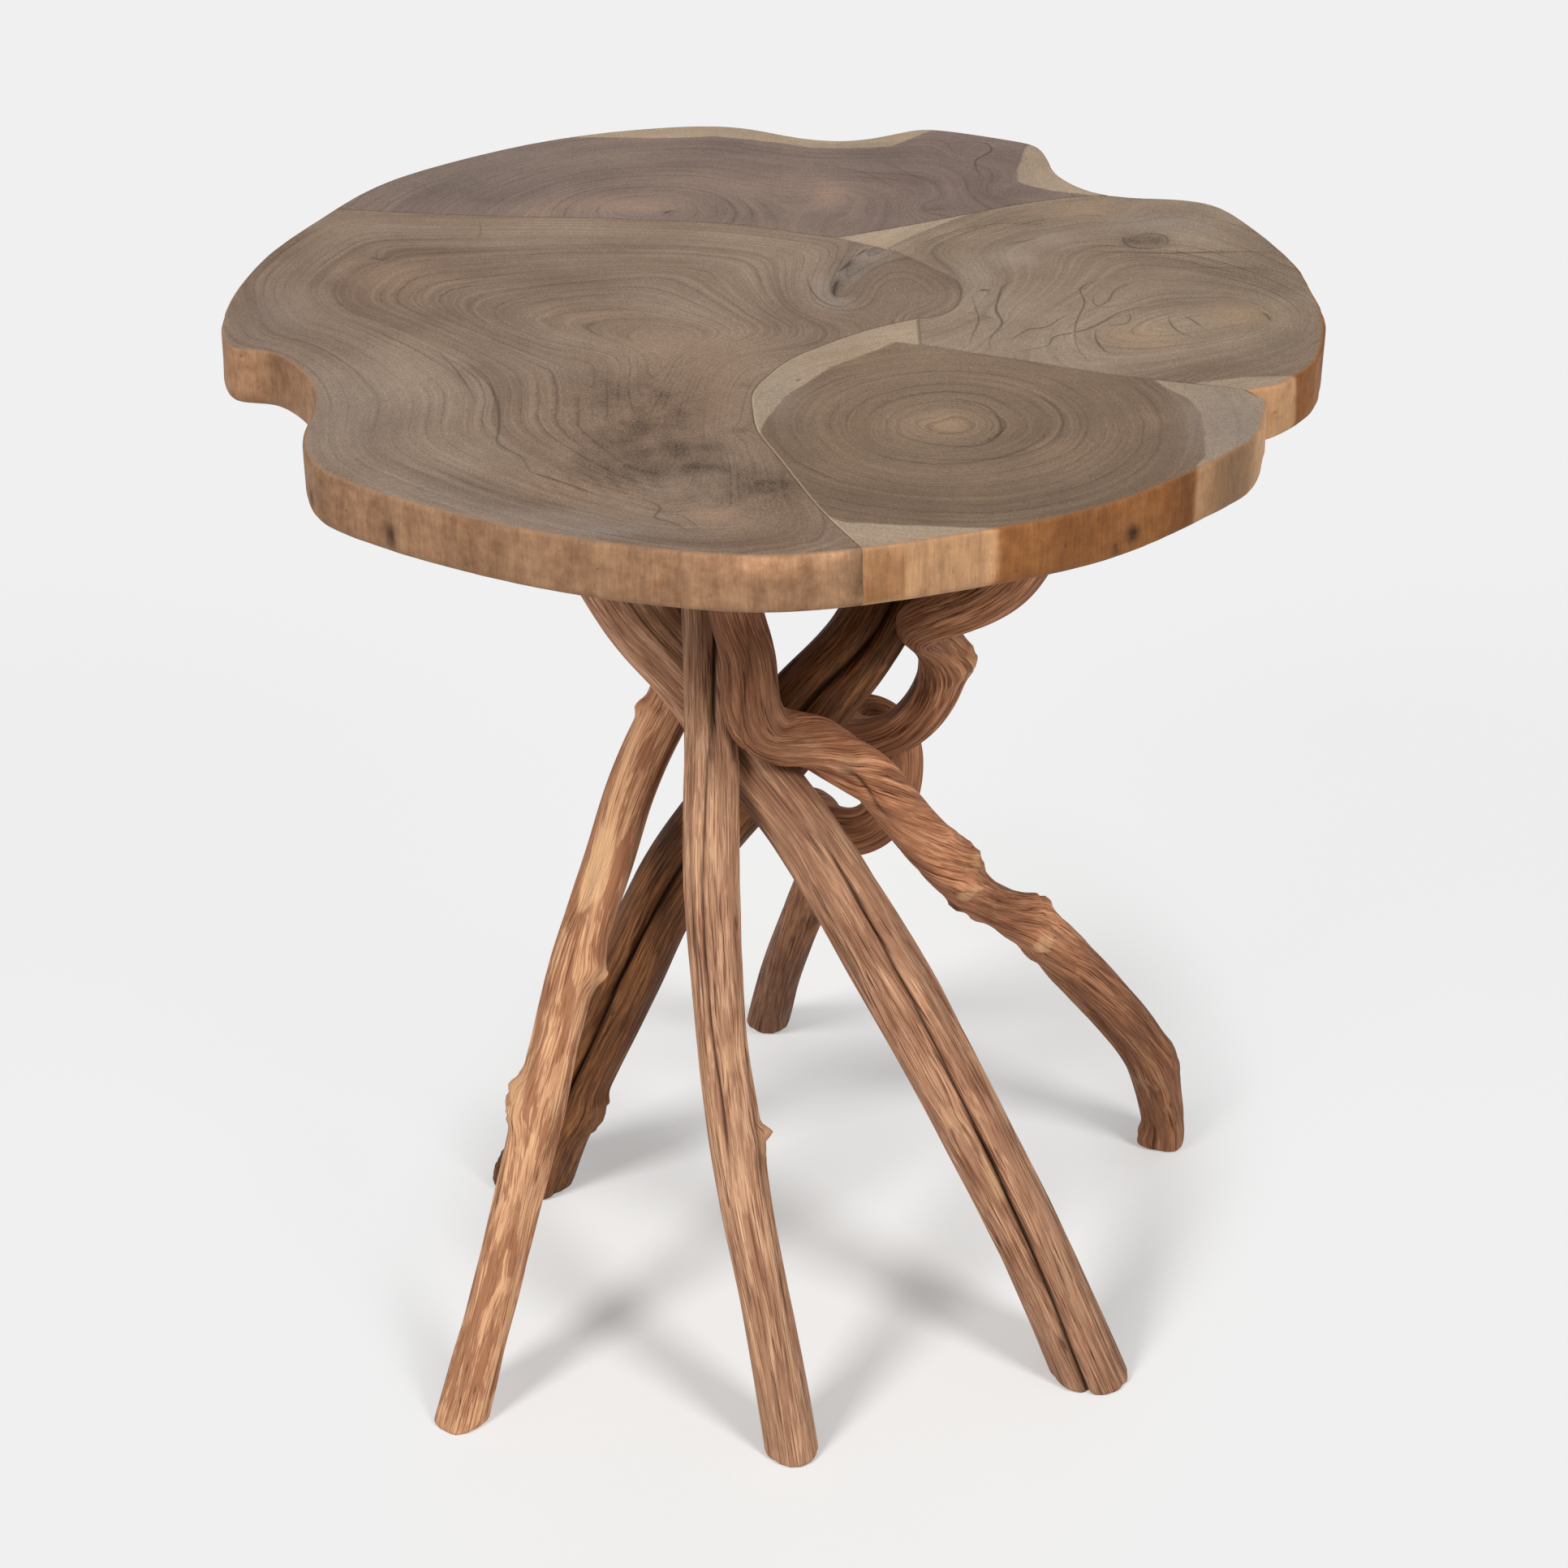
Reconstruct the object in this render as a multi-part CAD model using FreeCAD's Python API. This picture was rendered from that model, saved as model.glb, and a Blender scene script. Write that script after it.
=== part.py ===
import FreeCAD
import Part
import math
import os
from FreeCAD import Vector

# Teak root side table. Millimetres, +Z up, standing on z = 0.
# Plan points are read from the front: +X to the right, +Y away from the viewer.

# Table top
TABLE_HEIGHT = 510.0
TOP_THICKNESS = 27.0
TOP_EDGE_ROUND = 2.5
BOTTOM_EDGE_ROUND = 5.0

# Branch diameters
LEG_FRONT_LEFT_DIAMETER = 24.0
LEG_FRONT_RIGHT_DIAMETER = 34.0
LEG_FRONT_DIAMETER = 25.0
LEG_REAR_LEFT_DIAMETER = 37.0
VINE_RIGHT_DIAMETER = 25.0
VINE_REAR_DIAMETER = 25.0
# Lengthwise grooves of the split branches: depth, half width and side, in degrees from the viewer's side
FRONT_RIGHT_GROOVE = 4.0
FRONT_GROOVE = 3.5
REAR_LEFT_GROOVE = 5.5
GROOVE_HALF_WIDTH = 24.0
FRONT_RIGHT_GROOVE_SIDE = 20.0
# Stock past each end of a branch before its end is sawn flat
END_STOCK = 25.0

# Round tenons on the branch tops, glued into blind mortises
SLIM_TENON_DIAMETER = 14.0
STOUT_TENON_DIAMETER = 20.0
TENON_LENGTH = 15.0
TENON_ROOT = 6.0
MORTISE_CLEARANCE = 0.1
MORTISE_END_ROOM = 0.5

# Dowels hidden in the glued seams of the top
DOWEL_DIAMETER = 8.0
DOWEL_LENGTH = 40.0
WEDGE_DOWEL_LENGTH = 24.0
DOWEL_CLEARANCE = 0.1
DOWEL_END_ROOM = 0.5

# Wood screws where the branches cross, heads on the far side
SCREW_SHANK_DIAMETER = 4.0
SCREW_HEAD_DIAMETER = 8.0
SCREW_HEAD_HEIGHT = 3.0
SCREW_HEAD_SINK = 2.0
SCREW_HEAD_ROOM = 8.0
SCREW_SLOT_WIDTH = 1.0
SCREW_SLOT_DEPTH = 1.0
SCREW_TIP = 4.0
SCREW_BITE = 12.0
SCREW_CLEARANCE = 0.1
# Flat planed on each branch where two of them bear on each other
LAP_LENGTH = 46.0

UNDERSIDE = TABLE_HEIGHT - TOP_THICKNESS
DOWEL_HEIGHT = TABLE_HEIGHT - TOP_THICKNESS / 2

# Live edge of the top, counterclockwise from the back
OUTLINE = [
    (-34, 256), (-98, 242), (-150, 212), (-194, 171), (-219, 125), (-239, 76), (-249, 26), (-250, 0),
    (-248, -24), (-241, -39), (-226, -43), (-215, -53), (-202, -79), (-198, -107), (-199, -134), (-193, -160),
    (-180, -177), (-137, -207), (-80, -234), (-23, -249), (6, -250), (37, -244), (95, -224), (131, -207),
    (159, -186), (191, -154), (207, -132), (213, -107), (214, -93), (209, -85), (217, -82), (230, -70),
    (241, -53), (249, -20), (251, 9), (245, 66), (232, 109), (219, 137), (207, 147), (190, 151),
    (166, 155), (150, 169), (141, 189), (138, 210), (133, 226), (120, 235), (84, 250), (70, 249),
    (52, 239), (34, 234), (12, 239), (-9, 250),
]

# Points where three pieces of the top meet
WEDGE_TIP = (30, 97)
WEDGE_BACK = (97, 130)
WEDGE_FRONT = (54, 82)
SAPWOOD_CORNER = (66, -4)
DISC_CORNER = (66, -34)
# Seams run from an inner point out past the live edge
SEAM_BACK_LEFT = [
    WEDGE_TIP, (9, 105), (-12, 113), (-37, 118), (-66, 121), (-101, 124), (-137, 126), (-210, 135),
    (-290, 146),
]
SEAM_BACK_RIGHT = [WEDGE_BACK, (116, 140), (141, 150), (166, 155), (290, 166)]
SEAM_TONGUE = [WEDGE_FRONT, (63, 73), (77, 55), (86, 39), (87, 25), (82, 7), SAPWOOD_CORNER]
SEAM_LEFT_FRONT = [
    SAPWOOD_CORNER, (41, -19), (24, -34), (9, -50), (-1, -68), (-8, -88), (-8, -107), (-6, -127), (0, -147),
    (9, -174), (22, -211), (37, -244), (50, -290),
]
SEAM_FRONT_RIGHT = [DISC_CORNER, (88, -43), (113, -53), (141, -65), (166, -73), (209, -85), (290, -108)]
SEAM_WEDGE_BACK = [WEDGE_TIP, (62, 112), WEDGE_BACK]
SEAM_WEDGE_RIGHT = [WEDGE_BACK, (74, 107), WEDGE_FRONT]
FAR = 290.0
LEVEL_TOLERANCE = 0.02
# Distance of each dowel along its seam from the inner end
DOWELS_BACK_LEFT = (75.0, 140.0, 205.0)
DOWELS_BACK_RIGHT = (45.0,)
DOWELS_TONGUE = (32.0, 74.0)
DOWELS_LEFT_FRONT = (60.0, 140.0, 215.0)
DOWELS_FRONT_RIGHT = (40.0, 100.0)
DOWELS_WEDGE = (18.0,)

# Branch centrelines from the foot to the underside of the top: x, y, z and swell of the diameter
LEG_FRONT_LEFT = [
    (-151, -155, 0, 1.04), (-137, -130, 46, 0.96), (-124, -108, 93, 0.96), (-114, -90, 131, 1.04),
    (-105, -74, 165, 0.96), (-95, -55, 199, 1.0), (-80, -31, 238, 1.0), (-70, -13, 267, 1.0),
    (-57, 3, 293, 1.0), (-45, 18, 316, 1.0), (-26, 76, 402, 1.0), (-5, 138, 483, 1.0),
]
LEG_FRONT_RIGHT = [
    (156, -121, 0, 1.03), (128, -106, 64, 1.0), (102, -94, 117, 1.0), (77, -82, 165, 1.03),
    (51, -66, 209, 1.03), (13, -42, 266, 0.97), (-6, -32, 289, 0.97), (-28, -14, 313, 0.97),
    (-46, 0, 332, 0.97), (-67, 14, 353, 1.0), (-108, 32, 430, 1.0), (-132, 44, 483, 1.0),
]
LEG_FRONT = [
    (9, -180, 0, 1.0), (4, -168, 30, 1.0), (-4, -152, 72, 0.96), (-13, -135, 113, 1.0),
    (-19, -119, 149, 1.0), (-24, -103, 184, 0.96), (-27, -87, 219, 1.0), (-29, -71, 254, 1.04),
    (-29, -52, 293, 1.04), (-29, -41, 317, 1.0), (-30, -30, 341, 0.92), (-31, -18, 367, 0.88),
    (-38, 2, 440, 0.92), (-42, 10, 483, 0.96),
]
LEG_REAR_LEFT = [
    (-128, 44, 0, 1.08), (-109, 38, 54, 0.97), (-89, 32, 104, 0.97), (-74, 26, 141, 0.97),
    (-45, 13, 212, 0.97), (-10, 1, 270, 1.03), (18, 6, 307, 1.1), (44, 25, 331, 1.0),
    (82, 50, 408, 0.97), (110, 70, 483, 0.97),
]
VINE_RIGHT = [
    (209, 79, 0, 0.88), (209, 77, 15, 0.88), (205, 75, 35, 0.96), (198, 71, 60, 1.0), (182, 62, 92, 1.04),
    (159, 51, 125, 1.04), (129, 37, 164, 0.98), (105, 21, 189, 0.88), (84, 8, 218, 1.04), (68, -8, 248, 1.0),
    (50, -22, 278, 0.96), (30, -32, 300, 1.0), (13, -38, 311, 1.0), (-3, -43, 320, 1.08),
    (-10, -48, 341, 1.1), (-11, -47, 361, 1.04), (-16, -43, 380, 1.0), (-22, -40, 440, 0.96),
    (-28, -36, 483, 0.96),
]
VINE_REAR = [
    (-4, 197, 0, 0.88), (6, 155, 69, 0.88), (18, 122, 125, 0.92), (27, 96, 169, 0.92), (27, 80, 196, 0.92),
    (19, 66, 213, 0.92), (12, 52, 221, 0.92), (20, 38, 223, 0.92), (40, 33, 220, 0.96), (57, 40, 229, 0.96),
    (63, 57, 246, 0.96), (59, 73, 256, 0.92), (46, 77, 262, 0.88), (35, 64, 265, 0.86), (42, 45, 268, 0.84),
    (60, 34, 276, 0.86), (76, 34, 292, 0.92), (83, 33, 313, 0.98), (79, 22, 333, 0.96), (71, 6, 348, 0.92),
    (75, -9, 361, 0.96), (92, -11, 369, 1.06), (110, -1, 377, 1.12), (122, 11, 390, 1.12),
    (136, 20, 430, 1.12), (142, 26, 483, 1.12),
]
SECTION_POINTS = 16


def spread(points, closed=False):
    """Parameters that grow with the square root of the chords, which keeps tight turns calm."""
    ends = points + points[:1] if closed else points
    values = [0.0]
    for a, b in zip(ends, ends[1:]):
        values.append(values[-1] + math.sqrt((b - a).Length))
    return values


def smooth_curve(points, closed=False):
    """Smooth curve through the points."""
    curve = Part.BSplineCurve()
    curve.interpolate(Points=points, PeriodicFlag=closed, Parameters=spread(points, closed))
    return curve


def plan(pairs):
    """Plan points at the floor."""
    return [Vector(x, y, 0) for x, y in pairs]


def seam_edge(pairs):
    """One seam of the top in plan."""
    if len(pairs) == 2:
        a, b = plan(pairs)
        return Part.LineSegment(a, b).toShape()
    return smooth_curve(plan(pairs)).toShape()


def level_edges(shape, height):
    """Edges that lie level at one height."""
    return [e for e in shape.Edges if abs(e.BoundBox.ZMin - height) + e.BoundBox.ZLength < LEVEL_TOLERANCE]


def top_blank():
    """The whole top with its eased upper edge and rounder lower edge."""
    outline = smooth_curve(plan(OUTLINE), closed=True).toShape()
    face = Part.Face(Part.Wire([outline]))
    face.translate(Vector(0, 0, UNDERSIDE))
    blank = face.extrude(Vector(0, 0, TOP_THICKNESS))
    for height, radius in ((TABLE_HEIGHT, TOP_EDGE_ROUND), (UNDERSIDE, BOTTOM_EDGE_ROUND)):
        blank = blank.makeFillet(radius, level_edges(blank, height))
    return blank


def region(edges, corners):
    """Upright prism over the plan area inside the seam edges and the straight runs between far corners."""
    runs = [Part.LineSegment(a, b).toShape() for a, b in zip(corners, corners[1:])]
    wire = Part.Wire(Part.__sortEdges__(edges + runs))
    face = Part.Face(wire)
    face.translate(Vector(0, 0, UNDERSIDE - TOP_THICKNESS))
    return face.extrude(Vector(0, 0, 3 * TOP_THICKNESS))


def top_pieces(blank):
    """The five glued pieces of the top and the seams between them."""
    seams = {
        "back_left": seam_edge(SEAM_BACK_LEFT),
        "back_right": seam_edge(SEAM_BACK_RIGHT),
        "tongue": seam_edge(SEAM_TONGUE),
        "left_front": seam_edge(SEAM_LEFT_FRONT),
        "sapwood": seam_edge([SAPWOOD_CORNER, DISC_CORNER]),
        "front_right": seam_edge(SEAM_FRONT_RIGHT),
        "wedge_back": seam_edge(SEAM_WEDGE_BACK),
        "wedge_right": seam_edge(SEAM_WEDGE_RIGHT),
        "wedge_left": seam_edge([WEDGE_FRONT, WEDGE_TIP]),
    }
    left_end = Vector(*SEAM_BACK_LEFT[-1], 0)
    right_end = Vector(*SEAM_BACK_RIGHT[-1], 0)
    front_end = Vector(*SEAM_LEFT_FRONT[-1], 0)
    disc_end = Vector(*SEAM_FRONT_RIGHT[-1], 0)
    back_left = Vector(-FAR, FAR, 0)
    back_right = Vector(FAR, FAR, 0)
    front_left = Vector(-FAR, -FAR, 0)
    front_right = Vector(FAR, -FAR, 0)

    def pick(*names):
        return [seams[name] for name in names]

    regions = {
        "slab_back": (
            pick("back_left", "wedge_back", "back_right"), [right_end, back_right, back_left, left_end]),
        "slab_left": (
            pick("back_left", "wedge_left", "tongue", "left_front"), [left_end, front_left, front_end]),
        "slab_right": (
            pick("back_right", "wedge_right", "tongue", "sapwood", "front_right"), [disc_end, right_end]),
        "slab_front": (pick("left_front", "sapwood", "front_right"), [front_end, front_right, disc_end]),
        "wedge": (pick("wedge_back", "wedge_right", "wedge_left"), []),
    }
    pieces = {}
    for name, (edges, corners) in regions.items():
        pieces[name] = blank.common(region(edges, corners))
    return pieces, seams


def dowel_place(seam, distance):
    """Centre and axis of a dowel square across a seam, at mid thickness."""
    value = seam.getParameterByLength(distance)
    centre = seam.valueAt(value)
    centre.z = DOWEL_HEIGHT
    along = seam.tangentAt(value)
    return centre, Vector(-along.y, along.x, 0)


def bar(centre, axis, diameter, length):
    """Round bar centred on a point."""
    return Part.makeCylinder(diameter / 2, length, centre - axis * (length / 2), axis)


def branch_line(rows):
    """Centreline of a branch with stock past both ends, and the swell at each of its points."""
    top = rows[-1][2]
    points = [Vector(x, y, z * UNDERSIDE / top) for x, y, z, swell in rows]
    swells = [row[3] for row in rows]
    first = points[0] + (points[0] - points[1]).normalize() * END_STOCK
    last = points[-1] + (points[-1] - points[-2]).normalize() * END_STOCK
    points = [first] + points + [last]
    swells = swells[:1] + swells + swells[-1:]
    return points, swells


def swell_at(values, swells, value):
    """Swell between the points, in proportion."""
    for a, b, low, high in zip(values, values[1:], swells, swells[1:]):
        if value <= b:
            return low + (high - low) * (value - a) / (b - a)
    return swells[-1]


class Branch:
    """One branch: its line, its local radius and its solid."""

    def __init__(self, rows, diameter, groove=0.0, groove_side=0.0):
        points, self.swells = branch_line(rows)
        self.values = spread(points)
        self.curve = smooth_curve(points)
        self.diameter = diameter
        self.groove = groove
        self.groove_side = groove_side
        self.top = points[-2]
        self.solid = self.body()

    def radius(self, value):
        return self.diameter / 2 * swell_at(self.values, self.swells, value)

    def section(self, value, across, over):
        """Closed section square to the line, with the groove pressed into one side."""
        centre = self.curve.value(value)
        radius = self.radius(value)
        points = []
        for k in range(SECTION_POINTS):
            angle = 2 * math.pi * k / SECTION_POINTS
            away = math.remainder(math.degrees(angle) - self.groove_side, 360) / GROOVE_HALF_WIDTH
            reach = radius - self.groove * math.exp(-away * away)
            points.append(centre + across * (reach * math.cos(angle)) + over * (reach * math.sin(angle)))
        ring = Part.BSplineCurve()
        ring.interpolate(Points=points, PeriodicFlag=True)
        return Part.Wire([ring.toShape()])

    def body(self):
        """Loft along the line, sawn flat at the floor and at the underside of the top."""
        stations = []
        for a, b in zip(self.values, self.values[1:]):
            stations += [a, (a + b) / 2]
        stations.append(self.values[-1])
        across = Vector(0, -1, 0)
        rings = []
        for value in stations:
            along = self.curve.tangent(value)[0]
            across = (across - along * across.dot(along)).normalize()
            rings.append(self.section(value, across, along.cross(across)))
        loft = Part.makeLoft(rings, True, False)
        room = Part.makeBox(4 * FAR, 4 * FAR, UNDERSIDE, Vector(-2 * FAR, -2 * FAR, 0))
        return loft.common(room)

    def add_tenon(self, diameter):
        """Round tenon rising from the flat top end."""
        base = Vector(self.top.x, self.top.y, UNDERSIDE - TENON_ROOT)
        self.solid = self.solid.fuse(Part.makeCylinder(diameter / 2, TENON_ROOT + TENON_LENGTH, base))

    def mortise(self, diameter):
        """Room for the tenon in the piece of the top above."""
        base = Vector(self.top.x, self.top.y, UNDERSIDE - TENON_ROOT)
        depth = TENON_ROOT + TENON_LENGTH + MORTISE_END_ROOM
        return Part.makeCylinder(diameter / 2 + MORTISE_CLEARANCE, depth, base)


def flat_cutter(centre, axis):
    """Block on the far side of a flat, used to plane a branch."""
    block = Part.makeBox(LAP_LENGTH, LAP_LENGTH, LAP_LENGTH, Vector(-LAP_LENGTH / 2, -LAP_LENGTH / 2, 0))
    block.Placement = FreeCAD.Placement(centre, FreeCAD.Rotation(Vector(0, 0, 1), axis))
    return block


def lap(first, second):
    """Plane two branches flat where they cross; returns the flat's centre, axis and screw head place."""
    reach, pairs = first.curve.toShape().distToShape(second.curve.toShape())[:2]
    near, far = pairs[0]
    axis = (far - near).normalize()
    first_radius = first.radius(first.curve.parameter(near))
    second_radius = second.radius(second.curve.parameter(far))
    centre = near + axis * (reach * first_radius / (first_radius + second_radius))
    first.solid = first.solid.cut(flat_cutter(centre, axis))
    second.solid = second.solid.cut(flat_cutter(centre, -axis))
    return centre, axis, near - axis * (first_radius - SCREW_HEAD_SINK)


def screw(head, axis, length):
    """Slotted countersunk wood screw with its head face at a point."""
    shank = SCREW_SHANK_DIAMETER / 2
    body = Part.makeCone(SCREW_HEAD_DIAMETER / 2, shank, SCREW_HEAD_HEIGHT, head, axis)
    body = body.fuse(Part.makeCylinder(shank, length - SCREW_TIP, head, axis))
    body = body.fuse(Part.makeCone(shank, shank / 4, SCREW_TIP, head + axis * (length - SCREW_TIP), axis))
    slot = Part.makeBox(
        2 * SCREW_HEAD_DIAMETER, SCREW_SLOT_WIDTH, 2 * SCREW_SLOT_DEPTH,
        Vector(-SCREW_HEAD_DIAMETER, -SCREW_SLOT_WIDTH / 2, -SCREW_SLOT_DEPTH))
    slot.Placement = FreeCAD.Placement(head, FreeCAD.Rotation(Vector(0, 0, 1), axis))
    return body.cut(slot)


def screw_hole(head, axis, length):
    """Countersunk hole for a screw, open towards its head."""
    shank = SCREW_SHANK_DIAMETER / 2 + SCREW_CLEARANCE
    rim = SCREW_HEAD_DIAMETER / 2 + SCREW_CLEARANCE
    hole = Part.makeCone(rim, shank, SCREW_HEAD_HEIGHT, head, axis)
    hole = hole.fuse(Part.makeCylinder(shank, length + SCREW_CLEARANCE, head, axis))
    return hole.fuse(Part.makeCylinder(rim, SCREW_HEAD_ROOM, head - axis * SCREW_HEAD_ROOM, axis))


blank = top_blank()
slabs, seams = top_pieces(blank)
parts = dict(slabs)

# Seam dowels: seam, the two pieces joined, distances along the seam, dowel length
seam_rows = [
    ("back_left", ("slab_back", "slab_left"), DOWELS_BACK_LEFT, DOWEL_LENGTH),
    ("back_right", ("slab_back", "slab_right"), DOWELS_BACK_RIGHT, DOWEL_LENGTH),
    ("tongue", ("slab_left", "slab_right"), DOWELS_TONGUE, DOWEL_LENGTH),
    ("left_front", ("slab_left", "slab_front"), DOWELS_LEFT_FRONT, DOWEL_LENGTH),
    ("front_right", ("slab_front", "slab_right"), DOWELS_FRONT_RIGHT, DOWEL_LENGTH),
    ("wedge_back", ("slab_back", "wedge"), DOWELS_WEDGE, WEDGE_DOWEL_LENGTH),
]
for seam, joined, distances, length in seam_rows:
    for number, distance in enumerate(distances, 1):
        centre, axis = dowel_place(seams[seam], distance)
        parts["dowel_%s_%d" % (seam, number)] = bar(centre, axis, DOWEL_DIAMETER, length)
        hole = bar(centre, axis, DOWEL_DIAMETER + 2 * DOWEL_CLEARANCE, length + 2 * DOWEL_END_ROOM)
        for piece in joined:
            parts[piece] = parts[piece].cut(hole)

branches = {
    "leg_front_left": Branch(LEG_FRONT_LEFT, LEG_FRONT_LEFT_DIAMETER),
    "leg_front_right": Branch(
        LEG_FRONT_RIGHT, LEG_FRONT_RIGHT_DIAMETER, FRONT_RIGHT_GROOVE, FRONT_RIGHT_GROOVE_SIDE),
    "leg_front": Branch(LEG_FRONT, LEG_FRONT_DIAMETER, FRONT_GROOVE),
    "leg_rear_left": Branch(LEG_REAR_LEFT, LEG_REAR_LEFT_DIAMETER, REAR_LEFT_GROOVE),
    "vine_leg_right": Branch(VINE_RIGHT, VINE_RIGHT_DIAMETER),
    "vine_leg_rear": Branch(VINE_REAR, VINE_REAR_DIAMETER),
}

# Crossings: the screwed branch, the branch it is screwed to, and the screw's name
crossing_rows = [
    ("leg_front_left", "leg_front_right", "screw_front_left"),
    ("leg_front_right", "leg_front", "screw_front"),
    ("leg_rear_left", "leg_front_right", "screw_rear_left"),
    ("leg_front", "vine_leg_right", "screw_vine_right"),
    ("leg_rear_left", "vine_leg_rear", "screw_vine_rear"),
]
for first, second, name in crossing_rows:
    centre, axis, head = lap(branches[first], branches[second])
    length = (centre - head).Length + SCREW_BITE
    parts[name] = screw(head, axis, length)
    hole = screw_hole(head, axis, length)
    branches[first].solid = branches[first].solid.cut(hole)
    branches[second].solid = branches[second].solid.cut(hole)
# These two bear on each other without a screw
lap(branches["leg_front_right"], branches["vine_leg_right"])

# Branch tops: branch, the piece of the top it carries, tenon diameter
tenon_rows = [
    ("leg_front_left", "slab_back", SLIM_TENON_DIAMETER),
    ("leg_front_right", "slab_left", STOUT_TENON_DIAMETER),
    ("leg_front", "slab_left", SLIM_TENON_DIAMETER),
    ("leg_rear_left", "slab_right", STOUT_TENON_DIAMETER),
    ("vine_leg_right", "slab_left", SLIM_TENON_DIAMETER),
    ("vine_leg_rear", "slab_right", SLIM_TENON_DIAMETER),
]
for name, piece, diameter in tenon_rows:
    branches[name].add_tenon(diameter)
    parts[piece] = parts[piece].cut(branches[name].mortise(diameter))
    parts[name] = branches[name].solid

# The origin lies on the floor under the middle of the top
middle = blank.optimalBoundingBox().Center
os.makedirs("parts", exist_ok=True)
for name, shape in parts.items():
    shape = shape.copy()
    shape.translate(Vector(-middle.x, -middle.y, 0))
    shape.exportStep("parts/%s.step" % name)
    print(name, len(shape.Solids), shape.isValid(), round(shape.Volume))
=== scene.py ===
import math
import bpy
import numpy as np
from mathutils.geometry import delaunay_2d_cdt
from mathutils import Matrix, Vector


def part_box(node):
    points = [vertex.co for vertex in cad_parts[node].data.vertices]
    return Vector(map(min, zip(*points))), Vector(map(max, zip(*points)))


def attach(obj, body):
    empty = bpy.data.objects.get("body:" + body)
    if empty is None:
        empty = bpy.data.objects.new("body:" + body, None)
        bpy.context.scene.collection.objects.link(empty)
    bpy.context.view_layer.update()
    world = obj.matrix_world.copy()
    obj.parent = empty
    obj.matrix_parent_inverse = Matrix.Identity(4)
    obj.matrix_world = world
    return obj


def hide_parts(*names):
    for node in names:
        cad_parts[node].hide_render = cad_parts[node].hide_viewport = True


# Teak root side table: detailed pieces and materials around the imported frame.
# Points are in millimetres as in the part, read from the front: +X to the right, +Y away from the viewer.
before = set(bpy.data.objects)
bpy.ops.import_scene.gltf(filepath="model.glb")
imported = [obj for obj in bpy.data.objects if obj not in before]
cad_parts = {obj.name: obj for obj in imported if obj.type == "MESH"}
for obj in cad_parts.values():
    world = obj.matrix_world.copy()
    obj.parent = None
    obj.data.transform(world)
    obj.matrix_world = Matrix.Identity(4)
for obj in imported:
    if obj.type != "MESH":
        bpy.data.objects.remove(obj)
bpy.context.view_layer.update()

MM = 0.001
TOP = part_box("slab_left")[1].z / MM
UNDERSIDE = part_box("slab_left")[0].z / MM

# Table top
TOP_EDGE_ROUND = 2.5
BOTTOM_EDGE_ROUND = 5.0
SEAM_EASE = 0.35
EDGE_SPACING = 2.4
CAP_SPACING = 3.0
UNDERSIDE_SPACING = 9.0
CORNER_ROOM = 8.0
SEAM_ROOM = 14.0
WEDGE_ROOM = 11.0
# Grid on which the growth rings are smoothed, and how softly growth centres join
GRID_STEP = 3.0
GRID_HALF = 270.0
GRID_PASSES = 3
HEART_BLEND = 7.0
# Waves of the live edge: height, width along it, width down it and seed. The edge is drawn in under them.
EDGE_WAVES = [(0.9, 30, 40, 11), (0.45, 7, 22, 12)]
EDGE_DRAW = 0.5
# Waves of the growth rings: height, width and seed
RING_WAVES = [(1.6, 52, 3), (0.4, 19, 4)]
# Steps around the top round, down the side and around the bottom round, and the flat rims beside them
TOP_STEPS = 4
SIDE_STEPS = 7
BOTTOM_STEPS = 5
TOP_RIM = 1.2
BOTTOM_RIM = 1.5
SEAM_RIM = 0.6
# Points of a flat face, as shares of their spacing: distance of rows, straying, and room beside the rim
ROW_SHARE = 0.87
STRAY_SHARE = 0.18
RIM_SHARE = 0.55
# Cracks: spacing of points, room beside one, width left at its ends, and darkness with depth
CRACK_SPACING = 1.6
CRACK_ROOM = 1.3
CRACK_END = 0.3
CRACK_DARKENING = 4
CRACK_DARKEST = 0.9
# Edges that turn more than this, in degrees, stay sharp
SLAB_SHARP = 38.0
BRANCH_SHARP = 50.0
# Darkness of the line along a seam, below nothing where pale glue shows
SEAM_LINE = 0.55
GLUE_LINE = -0.6

OUTLINE = [
    (-34, 256), (-98, 242), (-150, 212), (-194, 171), (-219, 125), (-239, 76), (-249, 26), (-250, 0),
    (-248, -24), (-241, -39), (-226, -43), (-215, -53), (-202, -79), (-198, -107), (-199, -134), (-193, -160),
    (-180, -177), (-137, -207), (-80, -234), (-23, -249), (6, -250), (37, -244), (95, -224), (131, -207),
    (159, -186), (191, -154), (207, -132), (213, -107), (214, -93), (209, -85), (217, -82), (230, -70),
    (241, -53), (249, -20), (251, 9), (245, 66), (232, 109), (219, 137), (207, 147), (190, 151),
    (166, 155), (150, 169), (141, 189), (138, 210), (133, 226), (120, 235), (84, 250), (70, 249),
    (52, 239), (34, 234), (12, 239), (-9, 250),
]
WEDGE_TIP = (30, 97)
WEDGE_BACK = (97, 130)
WEDGE_FRONT = (54, 82)
SAPWOOD_CORNER = (66, -4)
DISC_CORNER = (66, -34)
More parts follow.
